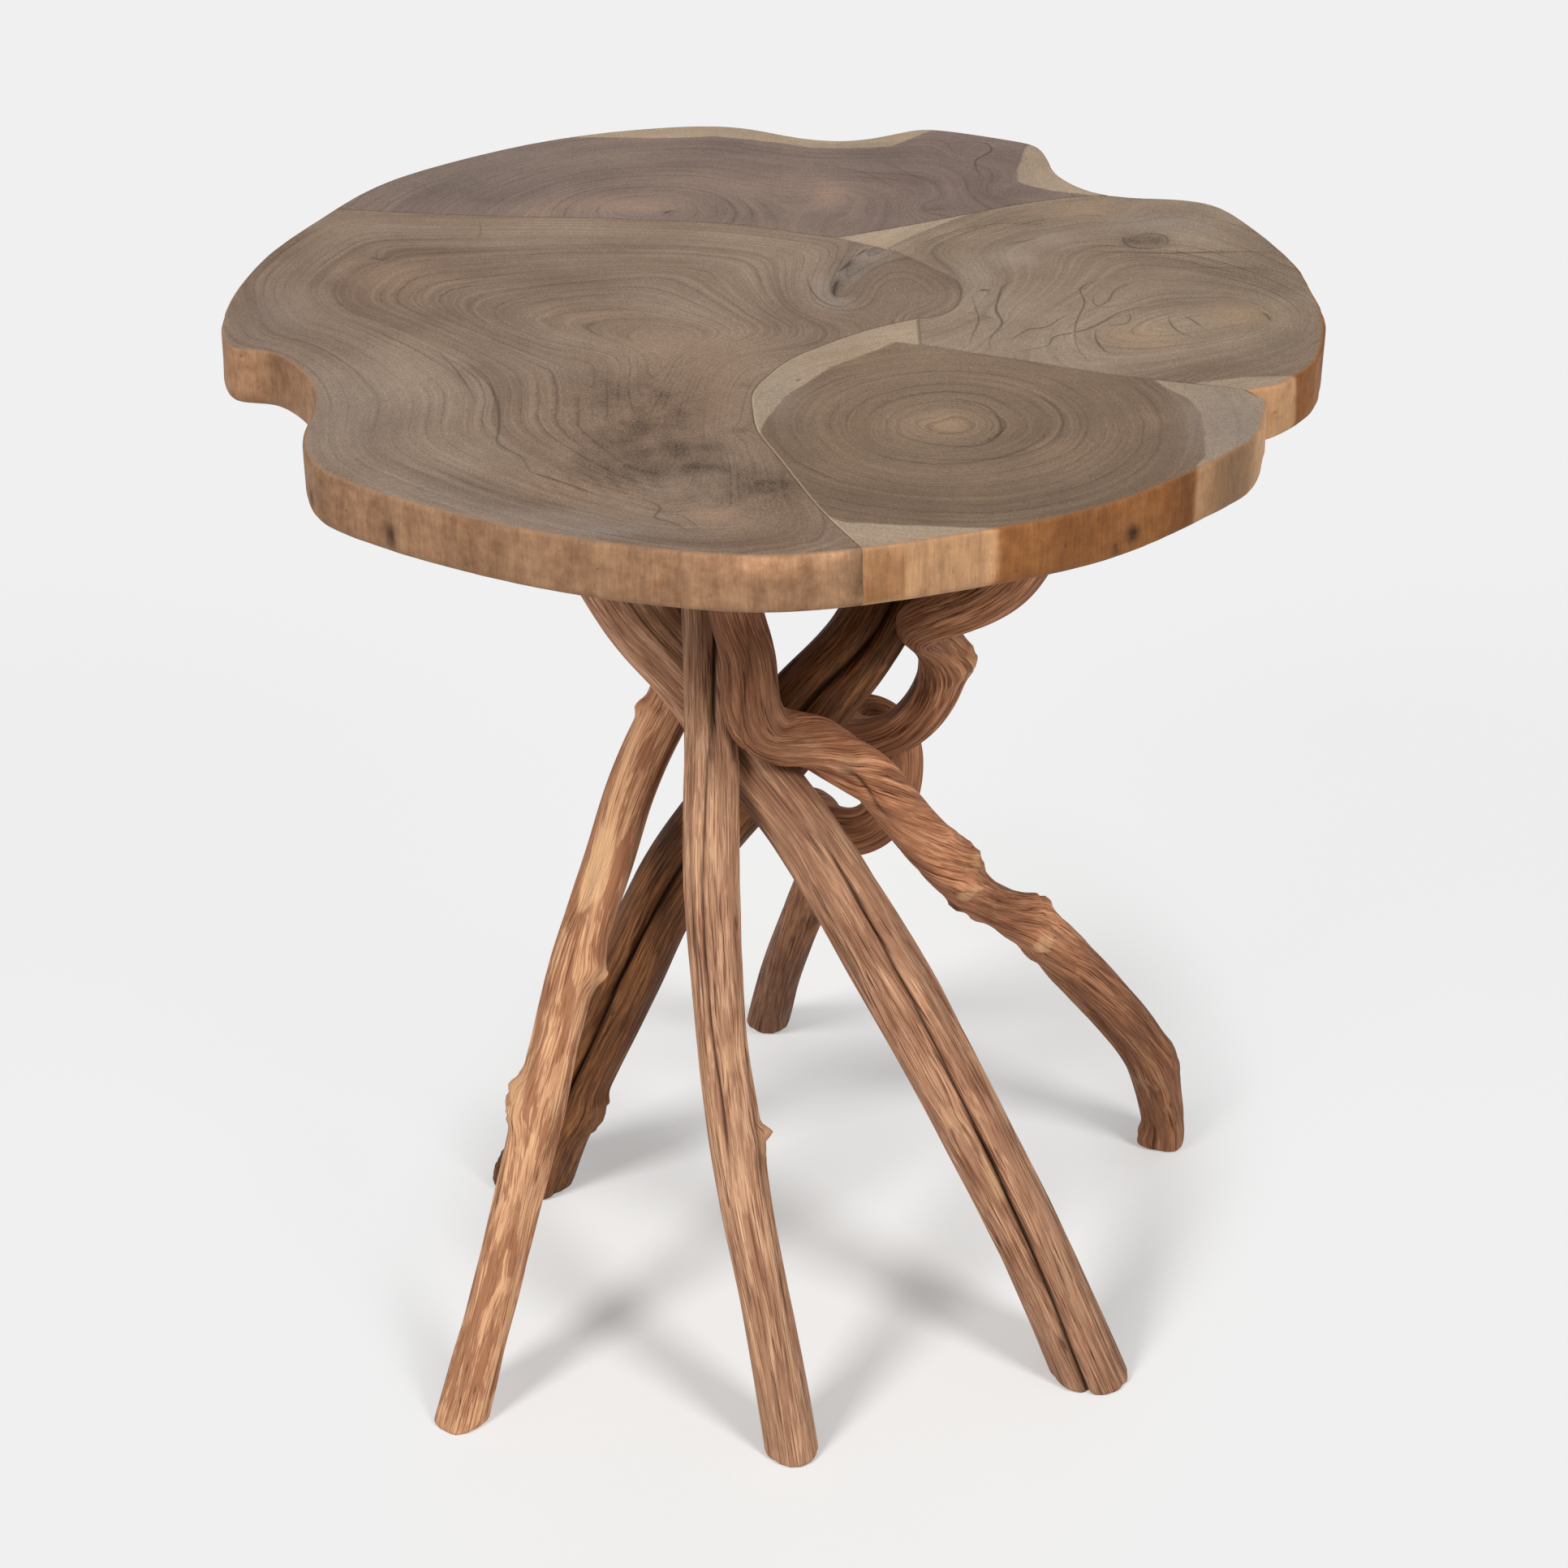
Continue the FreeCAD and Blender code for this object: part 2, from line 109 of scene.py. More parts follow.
SEAMS = {
    "back_left": [
        WEDGE_TIP, (9, 105), (-12, 113), (-37, 118), (-66, 121), (-101, 124), (-137, 126), (-210, 135),
        (-290, 146)],
    "back_right": [WEDGE_BACK, (116, 140), (141, 150), (166, 155), (290, 166)],
    "tongue": [WEDGE_FRONT, (63, 73), (77, 55), (86, 39), (87, 25), (82, 7), SAPWOOD_CORNER],
    "left_front": [
        SAPWOOD_CORNER, (41, -19), (24, -34), (9, -50), (-1, -68), (-8, -88), (-8, -107), (-6, -127),
        (0, -147), (9, -174), (22, -211), (37, -244), (50, -290)],
    "sapwood": [SAPWOOD_CORNER, DISC_CORNER],
    "front_right": [DISC_CORNER, (88, -43), (113, -53), (141, -65), (166, -73), (209, -85), (290, -108)],
    "wedge_back": [WEDGE_TIP, (62, 112), WEDGE_BACK],
    "wedge_right": [WEDGE_BACK, (74, 107), WEDGE_FRONT],
    "wedge_left": [WEDGE_FRONT, WEDGE_TIP],
}


# Curves and fields

def smooth_curve(points, closed=False):
    """Knot values of a smooth curve through the points, and the curve as a function of those values."""
    points = np.asarray(points, float)
    if closed:
        points = np.vstack([points, points[:1]])
    steps = np.sqrt(np.linalg.norm(np.diff(points, axis=0), axis=1))
    knots = np.concatenate([[0.0], np.cumsum(steps)])
    count = len(points)
    pull = np.diff(points, axis=0) / steps[:, None] ** 2
    system = np.zeros((count, count))
    right = np.zeros(points.shape)
    for i in range(1, count - 1):
        system[i, i - 1:i + 2] = 1 / steps[i - 1], 2 / steps[i - 1] + 2 / steps[i], 1 / steps[i]
        right[i] = 3 * (pull[i - 1] + pull[i])
    if closed:
        system[0, [0, 1, -2]] = 2 / steps[0] + 2 / steps[-1], 1 / steps[0], 1 / steps[-1]
        right[0] = 3 * (pull[-1] + pull[0])
        system[-1, [0, -1]] = 1, -1
    else:
        near = min(4, count)
        for end, picks in ((0, slice(0, near)), (count - 1, slice(count - near, count))):
            system[end, end] = 1
            right[end] = np.linalg.solve(np.vander(knots[picks] - knots[end]), points[picks])[-2]
    slopes = np.linalg.solve(system, right)

    def at(values):
        i = np.clip(np.searchsorted(knots, values) - 1, 0, count - 2)
        u = ((values - knots[i]) / steps[i])[..., None]
        h = steps[i][..., None]
        start = (1 + 2 * u) * (1 - u) ** 2 * points[i] + u * (1 - u) ** 2 * h * slopes[i]
        return start + u * u * (3 - 2 * u) * points[i + 1] + u * u * (u - 1) * h * slopes[i + 1]

    return knots, at


def dense(points, closed=False, count=4000):
    """Many points on the smooth curve through a few."""
    if len(points) == 2:
        return np.linspace(points[0], points[1], count)
    knots, at = smooth_curve(points, closed)
    return at(np.linspace(knots[0], knots[-1], count))


def run_of(points):
    """Distance along a run of points."""
    return np.concatenate([[0.0], np.cumsum(np.linalg.norm(np.diff(points, axis=0), axis=1))])


def even(points, spacing, skip_first=0.0, skip_last=0.0):
    """Points at even distances, with room left beside an end where asked."""
    run = run_of(points)
    marks = np.linspace(0, run[-1], max(2, round(run[-1] / spacing) + 1))
    keep = (marks > skip_first) & (marks < run[-1] - skip_last)
    keep[[0, -1]] = True
    marks = marks[keep]
    return np.stack([np.interp(marks, run, points[:, k]) for k in range(points.shape[1])], axis=1)


def to_chain(x, y, chain):
    """Distance from plan points to a chain of points, plus the lead that a third value gives along it."""
    chain = np.asarray(chain, float)
    a = chain[:-1]
    d = np.diff(chain, axis=0)
    px = x[:, None] - a[:, 0]
    py = y[:, None] - a[:, 1]
    part = np.clip((px * d[:, 0] + py * d[:, 1]) / (d[:, :2] ** 2).sum(1), 0, 1)
    gap = np.hypot(px - part * d[:, 0], py - part * d[:, 1])
    lead = (a + part[..., None] * d)[..., 2:].sum(2)
    return (gap + lead).min(1)


def inside(x, y, loop):
    """Which points lie inside a closed loop."""
    a = np.asarray(loop, float)
    b = np.roll(a, -1, axis=0)
    rise = (a[:, 1] > y[:, None]) != (b[:, 1] > y[:, None])
    with np.errstate(divide="ignore", invalid="ignore"):
        meet = a[:, 0] + (y[:, None] - a[:, 1]) * (b[:, 0] - a[:, 0]) / (b[:, 1] - a[:, 1])
    return (rise & (x[:, None] < meet)).sum(1) % 2 == 1


def lattice(ix, iy, iz, seed):
    """A fixed value from -1 to 1 at each lattice point."""
    low = 0xFFFFFFFF
    mixed = (ix * 73856093 ^ iy * 19349663 ^ iz * 83492791 ^ seed * 97531) & low
    mixed = ((mixed ^ mixed >> 13) * 1274126177) & low
    mixed = ((mixed ^ mixed >> 15) * 668265263) & low
    return ((mixed ^ mixed >> 16) & 0xFFFF) / 32767.5 - 1


def noise(x, y, z, seed):
    """Smooth noise from -1 to 1 with features about one unit wide."""
    x, y, z = np.broadcast_arrays(x, y, z)
    cell = [np.floor(v).astype(np.int64) for v in (x, y, z)]
    part = [v - c for v, c in zip((x, y, z), cell)]
    soft = [p * p * (3 - 2 * p) for p in part]
    total = np.zeros(x.shape)
    for dx in (0, 1):
        for dy in (0, 1):
            for dz in (0, 1):
                weight = 1
                for step, s in zip((dx, dy, dz), soft):
                    weight = weight * (s if step else 1 - s)
                total += weight * lattice(cell[0] + dx, cell[1] + dy, cell[2] + dz, seed)
    return total


def blobs(x, y, rows):
    """Sum of soft oval spots: x, y, half width, half depth, amount."""
    total = np.zeros(len(x))
    for cx, cy, rx, ry, amount in rows:
        total += amount * np.exp(-((x - cx) / rx) ** 2 - ((y - cy) / ry) ** 2)
    return total


outline = dense(OUTLINE, closed=True, count=8000)[:-1]
MIDDLE = (outline.min(0) + outline.max(0)) / 2


def placed(points):
    """Points in metres with the origin under the middle of the top."""
    return (np.asarray(points, float) - (*MIDDLE, 0.0)) * MM


def make_piece(name, points, faces, attributes, node, slot, material, sharp):
    """Mesh object that stands for a CAD node and rides on the body, with edges sharper than an angle kept."""
    mesh = bpy.data.meshes.new(name)
    mesh.from_pydata(placed(points).tolist(), [], faces)
    for key, values in attributes.items():
        kind, field = ("FLOAT_VECTOR", "vector") if np.ndim(values) == 2 else ("FLOAT", "value")
        layer = mesh.attributes.new(key, kind, "POINT")
        layer.data.foreach_set(field, np.ravel(values).astype(np.float32))
    mesh.shade_smooth()
    mesh.set_sharp_from_angle(angle=math.radians(sharp))
    mesh.validate()
    mesh.materials.append(material)
    piece = bpy.data.objects.new(name, mesh)
    bpy.context.scene.collection.objects.link(piece)
    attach(piece, "root")
    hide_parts(node)


# Shader helpers

def colour(red, green, blue):
    """Linear colour from screen values of 0 to 255."""
    linear = []
    for value in (red, green, blue):
        value = value / 255
        linear.append(value / 12.92 if value <= 0.04045 else ((value + 0.055) / 1.055) ** 2.4)
    return (*linear, 1.0)


def colours(rows):
    """Linear colours from rows of screen values."""
    return [colour(*row) for row in rows]


class Shader:
    """Short calls that add and join the nodes of one material."""

    def __init__(self, name):
        self.material = bpy.data.materials.new(name)
        self.material.use_nodes = True
        self.tree = self.material.node_tree
        self.surface = self.tree.nodes["Principled BSDF"]

    def node(self, kind, inputs=None, **settings):
        made = self.tree.nodes.new(kind)
        for key, value in settings.items():
            setattr(made, key, value)
        for key, value in (inputs or {}).items():
            self.put(value, made.inputs[key])
        return made

    def put(self, value, socket):
        if isinstance(value, bpy.types.NodeSocket):
            self.tree.links.new(value, socket)
        else:
            socket.default_value = value

    def place(self):
        return self.node("ShaderNodeTexCoord").outputs["Object"]

    def attribute(self, name, vector=False):
        made = self.node("ShaderNodeAttribute", attribute_name=name)
        return made.outputs["Vector" if vector else "Fac"]

    def math(self, operation, *values):
        return self.node("ShaderNodeMath", dict(enumerate(values)), operation=operation).outputs[0]

    def plus(self, start, *parts):
        """A value with others added to it, each times its weight."""
        for value, weight in parts:
            start = self.math("MULTIPLY_ADD", value, weight, start)
        return start

    def total(self, first, *others):
        """Sum of values, each times its weight."""
        return self.plus(self.math("MULTIPLY", *first), *others)

    def times(self, first, *others):
        """Product of values."""
        for value in others:
            first = self.math("MULTIPLY", first, value)
        return first

    def spread(self, value, low, high, to_low=0.0, to_high=1.0):
        made = self.node(
            "ShaderNodeMapRange",
            {"Value": value, "From Min": low, "From Max": high, "To Min": to_low, "To Max": to_high},
            interpolation_type="SMOOTHSTEP")
        return made.outputs["Result"]

    def crossing(self, value, half, amount=1.0):
        """Line where a noise crosses its middle, which fades out over a half width."""
        gap = self.math("ABSOLUTE", self.math("SUBTRACT", value, 0.5))
        return self.spread(gap, 0.0, half, amount, 0.0)

    def noise(self, vector, scale, detail, rough=0.55, stretch=None):
        if stretch:
            vector = self.node("ShaderNodeMapping", {"Vector": vector, "Scale": stretch}).outputs["Vector"]
        inputs = {"Vector": vector, "Scale": scale, "Detail": detail, "Roughness": rough}
        return self.node("ShaderNodeTexNoise", inputs).outputs["Fac"]

    def line_noise(self, value, scale, detail, rough):
        inputs = {"W": value, "Scale": scale, "Detail": detail, "Roughness": rough}
        return self.node("ShaderNodeTexNoise", inputs, noise_dimensions="1D").outputs["Fac"]

    def ramp(self, value, places, shades):
        made = self.node("ShaderNodeValToRGB", {"Fac": value})
        elements = made.color_ramp.elements
        while len(elements) < len(places):
            elements.new(0.5)
        for element, place, shade in zip(elements, places, shades):
            element.position = place
            element.color = shade
        return made.outputs["Color"]

    def mix(self, factor, first, second, blend="MIX"):
        made = self.node("ShaderNodeMix", {"Factor": factor}, data_type="RGBA", blend_type=blend)
        self.put(first, made.inputs[6])
        self.put(second, made.inputs[7])
        return made.outputs[2]

    def two_way(self, base, amount, above, below):
        """A colour mixed with a second where the amount is above nothing, with a third where it is below."""
        base = self.mix(self.math("MAXIMUM", amount, 0.0), base, above)
        return self.mix(self.math("MAXIMUM", self.times(amount, -1.0), 0.0), base, below)

    def shade(self, base, amount):
        """Brighten or darken a colour by a factor."""
        grey = self.node("ShaderNodeCombineColor", dict.fromkeys(("Red", "Green", "Blue"), amount)).outputs[0]
        return self.mix(1.0, base, grey, "MULTIPLY")

    def finish(self, base, roughness, bump_height, bump_distance, bump_strength, specular=0.2):
        self.put(base, self.surface.inputs["Base Color"])
        self.put(roughness, self.surface.inputs["Roughness"])
        self.surface.inputs["Specular IOR Level"].default_value = specular
        bump = self.node(
            "ShaderNodeBump", {"Height": bump_height, "Distance": bump_distance, "Strength": bump_strength})
        self.put(bump.outputs["Normal"], self.surface.inputs["Normal"])
        return self.material


# Materials of the wood

CRACK_BROWN = colour(62, 47, 38)
SEAM_BROWN = colour(70, 54, 44)
PALE_GLUE = colour(190, 168, 142)
SPECK_BROWN = colour(74, 48, 32)
COOL_GREY = colour(142, 127, 115)
DEEP_BROWN = colour(42, 24, 14)
PALE_WOOD = colour(214, 168, 126)
SAPWOOD = colours([(150, 131, 112), (172, 151, 128)])
END_WOOD = colours([(112, 80, 56), (166, 128, 94)])
# Part of one year's growth, and how much of its dark line shows there
YEAR_PARTS = (0.0, 0.07, 0.2, 0.5, 0.9, 1.0)
YEAR_LINE = (1.0, 0.45, 0.12, 0.0, 0.12, 1.0)
# Level of a noise below and above which few of its values lie
NOISE_SPAN = (0.3, 0.7)


def slab_material(name, heart, warm, edge):
    """End-cut root wood: growth rings on the faces, mottled outer wood on the live edge.

    heart is dark, middle and light; edge is dark, middle, light and sapwood."""
    s = Shader(name)
    place = s.place()
    axes = s.node("ShaderNodeSeparateXYZ", {0: place}).outputs
    waver = s.noise(place, 55.0, 3.0)
    ripple = s.noise(place, 260.0, 2.0)
    presence = s.noise(place, 16.0, 2.0)
    pores = s.noise(place, 900.0, 1.0)
    patch = s.noise(place, 11.0, 2.0)
    ring = s.plus(s.attribute("ring"), (waver, 1.6), (ripple, 0.8))
    swell = s.line_noise(ring, 0.045, 2.0, 0.5)
    year = s.math("FRACT", s.total((ring, 0.20), (swell, 1.6)))
    year_line = s.ramp(year, YEAR_PARTS, [(dark, dark, dark, 1.0) for dark in YEAR_LINE])

    def ring_noise(share):
        spot = {"X": s.times(axes["X"], 13.0), "Y": s.times(axes["Y"], 13.0), "Z": s.times(ring, share)}
        return s.noise(s.node("ShaderNodeCombineXYZ", spot).outputs[0], 1.0, 2.0)

    weight = s.spread(ring_noise(0.16), 0.40, 0.66, 0.10, 1.0)
    grain = ring_noise(0.75)
    bands = s.total((swell, 0.32), (patch, 0.45), (grain, 0.23))
    face = s.ramp(bands, (0.37, 0.5, 0.63), heart)
    sap_edge = s.plus(s.attribute("sap"), (s.math("SUBTRACT", waver, 0.5), 3.0))
    in_sap = s.spread(sap_edge, -0.9, 0.9)
    face = s.mix(in_sap, face, s.ramp(bands, (0.38, 0.62), SAPWOOD))
    face = s.two_way(face, s.attribute("warm"), warm, COOL_GREY)
    loss = s.times(year_line, weight, 0.42)
    loss = s.plus(loss, (s.crossing(grain, 0.06), s.spread(presence, *NOISE_SPAN, 0.05, 0.16)))
    loss = s.times(loss, s.attribute("bold"), s.spread(in_sap, 0.0, 1.0, 1.0, 0.35))
    tone = s.plus(s.attribute("tone"), (s.math("SUBTRACT", presence, 0.5), 0.20))
    tone = s.math("ADD", tone, s.spread(pores, *NOISE_SPAN, -0.14, 0.14))
    tone = s.math("ADD", tone, s.spread(ripple, *NOISE_SPAN, -0.05, 0.05))
    face = s.shade(face, s.math("SUBTRACT", s.math("ADD", tone, 1.04), loss))
    face = s.mix(s.attribute("crack"), face, CRACK_BROWN)
    face = s.two_way(face, s.attribute("seam"), SEAM_BROWN, PALE_GLUE)

    wall_place = {"X": s.attribute("run"), "Y": s.times(axes["Z"], 0.16)}
    wall_place = s.node("ShaderNodeCombineXYZ", wall_place).outputs[0]
    streak = s.noise(wall_place, 190.0, 4.0, 0.6)
    broad = s.noise(wall_place, 38.0, 2.0)
    hair = s.noise(wall_place, 900.0, 2.0, stretch=(1.0, 0.5, 1.0))
    mottle = s.noise(place, 140.0, 5.0, 0.68)
    fleck = s.spread(s.noise(wall_place, 430.0, 2.0, stretch=(1.0, 1.8, 1.0)), 0.60, 0.72)
    speck = s.spread(s.noise(place, 150.0, 2.0), 0.70, 0.76)
    streaks = s.total((streak, 0.20), (broad, 0.35), (mottle, 0.45))
    wall = s.ramp(streaks, (0.30, 0.5, 0.68), edge)
    pale_wall = s.shade(edge[3], s.spread(streaks, 0.36, 0.64, 0.80, 1.10))
    wall = s.mix(s.spread(sap_edge, -1.5, 1.5), wall, pale_wall)
    wall = s.shade(wall, s.spread(hair, *NOISE_SPAN, 0.91, 1.08))
    wall = s.mix(s.times(fleck, 0.22), wall, edge[0])
    wall = s.mix(s.times(speck, 0.55), wall, SPECK_BROWN)
    # Side tone: the wood's own, with painted light and shade in a few spots
    wall = s.shade(wall, s.math("ADD", s.attribute("edge_tone_and_painted_light"), 1.0))
    live = s.attribute("live")
    # Painted highlight: the top round-over, where live is near half, is lightened towards the light edge
    # colour
    rim = s.times(live, s.math("SUBTRACT", 1.0, live))
    base = s.mix(rim, s.mix(live, face, wall), edge[2])
    relief = s.math("SUBTRACT", s.times(live, s.math("ADD", streak, hair)), loss)
    return s.finish(base, s.spread(presence, *NOISE_SPAN, 0.58, 0.72), relief, 0.0005, 0.6)


def branch_material(name, dark, middle, light, bark_cover):
    """Peeled branch wood: fine fibres, scraps of bark, fissures, grooves, pale knots and bare patches, with
    painted shade in the grooves and along shaded stretches.
    """
    s = Shader(name)
    fibre = s.attribute("fibre", vector=True)

    def fibres(share, scale, detail, rough=0.55):
        return s.noise(fibre, scale, detail, rough, (1.0, 1.0, share))

    streak = fibres(0.025, 780.0, 3.0, 0.6)
    hair = fibres(0.03, 1500.0, 2.0, 0.6)
    value = s.total((streak, 0.40), (hair, 0.40), (fibres(0.2, 90.0, 2.0), 0.20))
    wood = s.ramp(value, (0.41, 0.49, 0.59), (dark, middle, light))
    scrap = s.total((fibres(0.15, 170.0, 3.0, 0.6), 0.55), (streak, 0.25), (hair, 0.20))
    bark = s.spread(scrap, 0.505, 0.53, 0.0, bark_cover)
    wood = s.mix(bark, wood, dark)
    split = s.crossing(fibres(0.02, 260.0, 2.0), 0.016)
    split = s.times(split, s.spread(fibres(0.3, 75.0, 1.0), 0.46, 0.56))
    wood = s.mix(s.times(split, 0.7), wood, DEEP_BROWN)
    wood = s.mix(s.crossing(fibres(0.012, 560.0, 1.0), 0.035, 0.42), wood, dark)
    pale_wood = s.shade(PALE_WOOD, s.spread(hair, *NOISE_SPAN, 0.86, 1.10))
    wood = s.mix(s.attribute("pale"), wood, pale_wood)
    # Deep brown for dark knots, and painted shade in grooves and along shaded stretches
    wood = s.mix(s.attribute("groove"), wood, DEEP_BROWN)
    rings = s.line_noise(s.attribute("radial"), 0.8, 2.0, 0.6)
    wood = s.mix(s.attribute("end"), wood, s.ramp(rings, (0.35, 0.65), END_WOOD))
    relief = s.total((streak, 0.6), (hair, 0.4), (split, -0.5), (bark, 0.2))
    rough = s.spread(s.noise(s.place(), 60.0, 2.0), *NOISE_SPAN, 0.58, 0.74)
    return s.finish(wood, rough, relief, 0.0011, 0.85, 0.15)


# Pieces of the top

def growth(x, y, figure, bark):
    """Growth at plan points: nothing at the pith, all of it at the bark."""
    cx, cy, share = figure.get("reach", (0, 0, 1.0))
    rise = (y - cy) / np.maximum(np.hypot(x - cx, y - cy), 1e-6)
    slow = 1 - (1 - share) * np.clip(0.55 + 1.2 * rise, 0, 1)
    grown = np.zeros(len(x))
    for chain in figure["hearts"]:
        grown += np.exp(-to_chain(cx + (x - cx) * slow, cy + (y - cy) * slow, chain) / HEART_BLEND)
    grown = np.maximum(-HEART_BLEND * np.log(np.maximum(grown, 1e-200)), 0.0)
    if not figure["follow"]:
        return grown * figure["rings"] / 100
    left = np.full(len(x), 1e9)
    for chain, margin in bark:
        left = np.minimum(left, to_chain(x, y, chain) + margin)
    return figure["rings"] * (grown / (grown + left)) ** figure.get("crowding", 1.0)


def calmed(figure, bark, x, y):
    """Growth with its creases smoothed away on a grid."""
    marks = np.arange(-GRID_HALF, GRID_HALF + GRID_STEP, GRID_STEP)
    across, back = np.meshgrid(marks, marks)
    field = growth(across.ravel(), back.ravel(), figure, bark).reshape(across.shape)
    for _ in range(GRID_PASSES):
        for _ in range(2):
            wide = np.pad(field, ((2, 2), (0, 0)), "edge")
            field = sum(wide[k:k + len(marks)] for k in range(5)).T / 5
    u = np.clip((x + GRID_HALF) / GRID_STEP, 0, len(marks) - 1.001)
    v = np.clip((y + GRID_HALF) / GRID_STEP, 0, len(marks) - 1.001)
    i = u.astype(int)
    j = v.astype(int)
    u = u - i
    v = v - j
    low = field[j, i] * (1 - u) + field[j, i + 1] * u
    high = field[j + 1, i] * (1 - u) + field[j + 1, i + 1] * u
    return low * (1 - v) + high * v


def figure_fields(x, y, figure, bark):
    """Growth and colour fields at plan points, from a few growth centres, bark lines and spots."""
    bark = [(bark, figure["margin"])] + figure.get("bark", [])
    ring = calmed(figure, bark, x, y) if figure["follow"] else growth(x, y, figure, bark)
    for height, width, seed in RING_WAVES:
        ring = ring + height * noise(x / width, y / width, 0.5, seed)
    for cx, cy, size, push in figure.get("knots", []):
        ring = ring + push * np.exp(-((x - cx) ** 2 + (y - cy) ** 2) / size ** 2)
    sap = np.full(len(x), -40.0)
    for loop in figure["sap"]:
        gap = to_chain(x, y, loop + loop[:1])
        sap = np.maximum(sap, np.where(inside(x, y, loop), gap, -gap))
    smudge = 1 + 0.8 * noise(x / 8, y / 11, 0.5, 6) + 0.5 * noise(x / 4, y / 5, 0.5, 7)
    curl = np.sin(0.74 * x + 0.3 * y + noise(x / 12, y / 12, 0.5, 8))
    tone = blobs(x, y, figure["tone"]) + blobs(x, y, figure.get("smudges", [])) * smudge
    return {
        "ring": ring,
        "sap": sap,
        "tone": tone + blobs(x, y, figure.get("curls", [])) * curl,
        "bold": figure["bold"] + blobs(x, y, figure.get("bolder", [])),
        "warm": np.clip(blobs(x, y, figure["warm"]), -0.85, 0.85),
        "edge_tone_and_painted_light": blobs(x, y, figure.get("edge_tone_and_painted_light", [])),
    }


def corner_shift(before, after, first, second):
    """Shift of a loop's point that insets the segments before and after it by two distances."""
    cross = before[:, 0] * after[:, 1] - before[:, 1] * after[:, 0]
    flat = np.abs(cross) < 0.2
    mean = before + after
    mean = mean / np.linalg.norm(mean, axis=1)[:, None]
    shift = mean * ((first + second) / 2)[:, None]
    safe = np.where(flat, 1.0, cross)
    meet = np.stack([
        (first * after[:, 1] - second * before[:, 1]) / safe,
        (second * before[:, 0] - first * after[:, 0]) / safe], axis=1)
    return np.where(flat[:, None], shift, meet)


def edge_levels():
    """Rows down the side of a top piece: height, insets of the live edge and of a seam, and roughness."""
    rows = [(TOP, TOP_EDGE_ROUND + TOP_RIM, SEAM_EASE + SEAM_RIM, 0.0)]
    for step in range(TOP_STEPS + 1):
        angle = math.radians(90 - 90 * step / TOP_STEPS)
        height = TOP - TOP_EDGE_ROUND * (1 - math.sin(angle))
        inset = TOP_EDGE_ROUND * (1 - math.cos(angle))
        rows.append((height, inset, SEAM_EASE * (step == 0), step / TOP_STEPS))
    low = UNDERSIDE + BOTTOM_EDGE_ROUND
    high = TOP - TOP_EDGE_ROUND
    for step in range(1, SIDE_STEPS):
        rows.append((high + (low - high) * step / SIDE_STEPS, 0.0, 0.0, 1.0))
    for step in range(BOTTOM_STEPS + 1):
        angle = math.radians(90 * step / BOTTOM_STEPS)
        height = low - BOTTOM_EDGE_ROUND * math.sin(angle)
        inset = BOTTOM_EDGE_ROUND * (1 - math.cos(angle))
        rows.append((height, inset, SEAM_EASE * (step == BOTTOM_STEPS), 1 - step / BOTTOM_STEPS))
    rows.append((UNDERSIDE, BOTTOM_EDGE_ROUND + BOTTOM_RIM, SEAM_EASE + SEAM_RIM, 0.0))
    return rows


def cap_points(loop, spacing, cracks, seed):
    """Points of a flat face inside a loop, closer along its cracks."""
    low = loop.min(0)
    high = loop.max(0)
    columns = np.arange(low[0], high[0], spacing)
    rows = np.arange(low[1], high[1], spacing * ROW_SHARE)
    x, y = np.meshgrid(columns, rows)
    x = x + np.where(np.arange(len(rows))[:, None] % 2, spacing / 2, 0)
    x = (x + STRAY_SHARE * spacing * noise(x, y, 0.5, seed)).ravel()
    y = (y + STRAY_SHARE * spacing * noise(x.reshape(y.shape), y, 0.5, seed + 1)).ravel()
    closed = np.vstack([loop, loop[:1]])
    keep = inside(x, y, loop)
    keep[keep] = to_chain(x[keep], y[keep], closed) > spacing * RIM_SHARE
    points = [np.stack([x[keep], y[keep]], axis=1)]
    depth = [np.zeros(keep.sum())]
    for chain, half, deep in cracks:
        line = even(dense(chain, count=400), CRACK_SPACING)
        clear = to_chain(points[0][:, 0], points[0][:, 1], line) > half + CRACK_ROOM
        points[0] = points[0][clear]
        depth[0] = depth[0][clear]
        along = np.gradient(line, axis=0)
        across = np.stack([-along[:, 1], along[:, 0]], axis=1) / np.linalg.norm(along, axis=1)[:, None]
        fade = np.sin(np.linspace(0, math.pi, len(line)))[:, None] ** 0.6
        side = across * half * (CRACK_END + (1 - CRACK_END) * fade)
        points += [line, line + side, line - side]
        depth += [deep * fade[:, 0], np.zeros(len(line)), np.zeros(len(line))]
    return np.vstack(points), np.concatenate(depth)


def filled(loop, inner):
    """Triangles over a loop and the points inside it."""
    points = np.vstack([loop, inner])
    count = len(loop)
    edges = [(i, (i + 1) % count) for i in range(count)]
    made = delaunay_2d_cdt([tuple(p) for p in points], edges, [], 1, 1e-6)
    origin = [source[0] for source in made[3]]
    return [tuple(origin[v] for v in face) for face in made[2]]


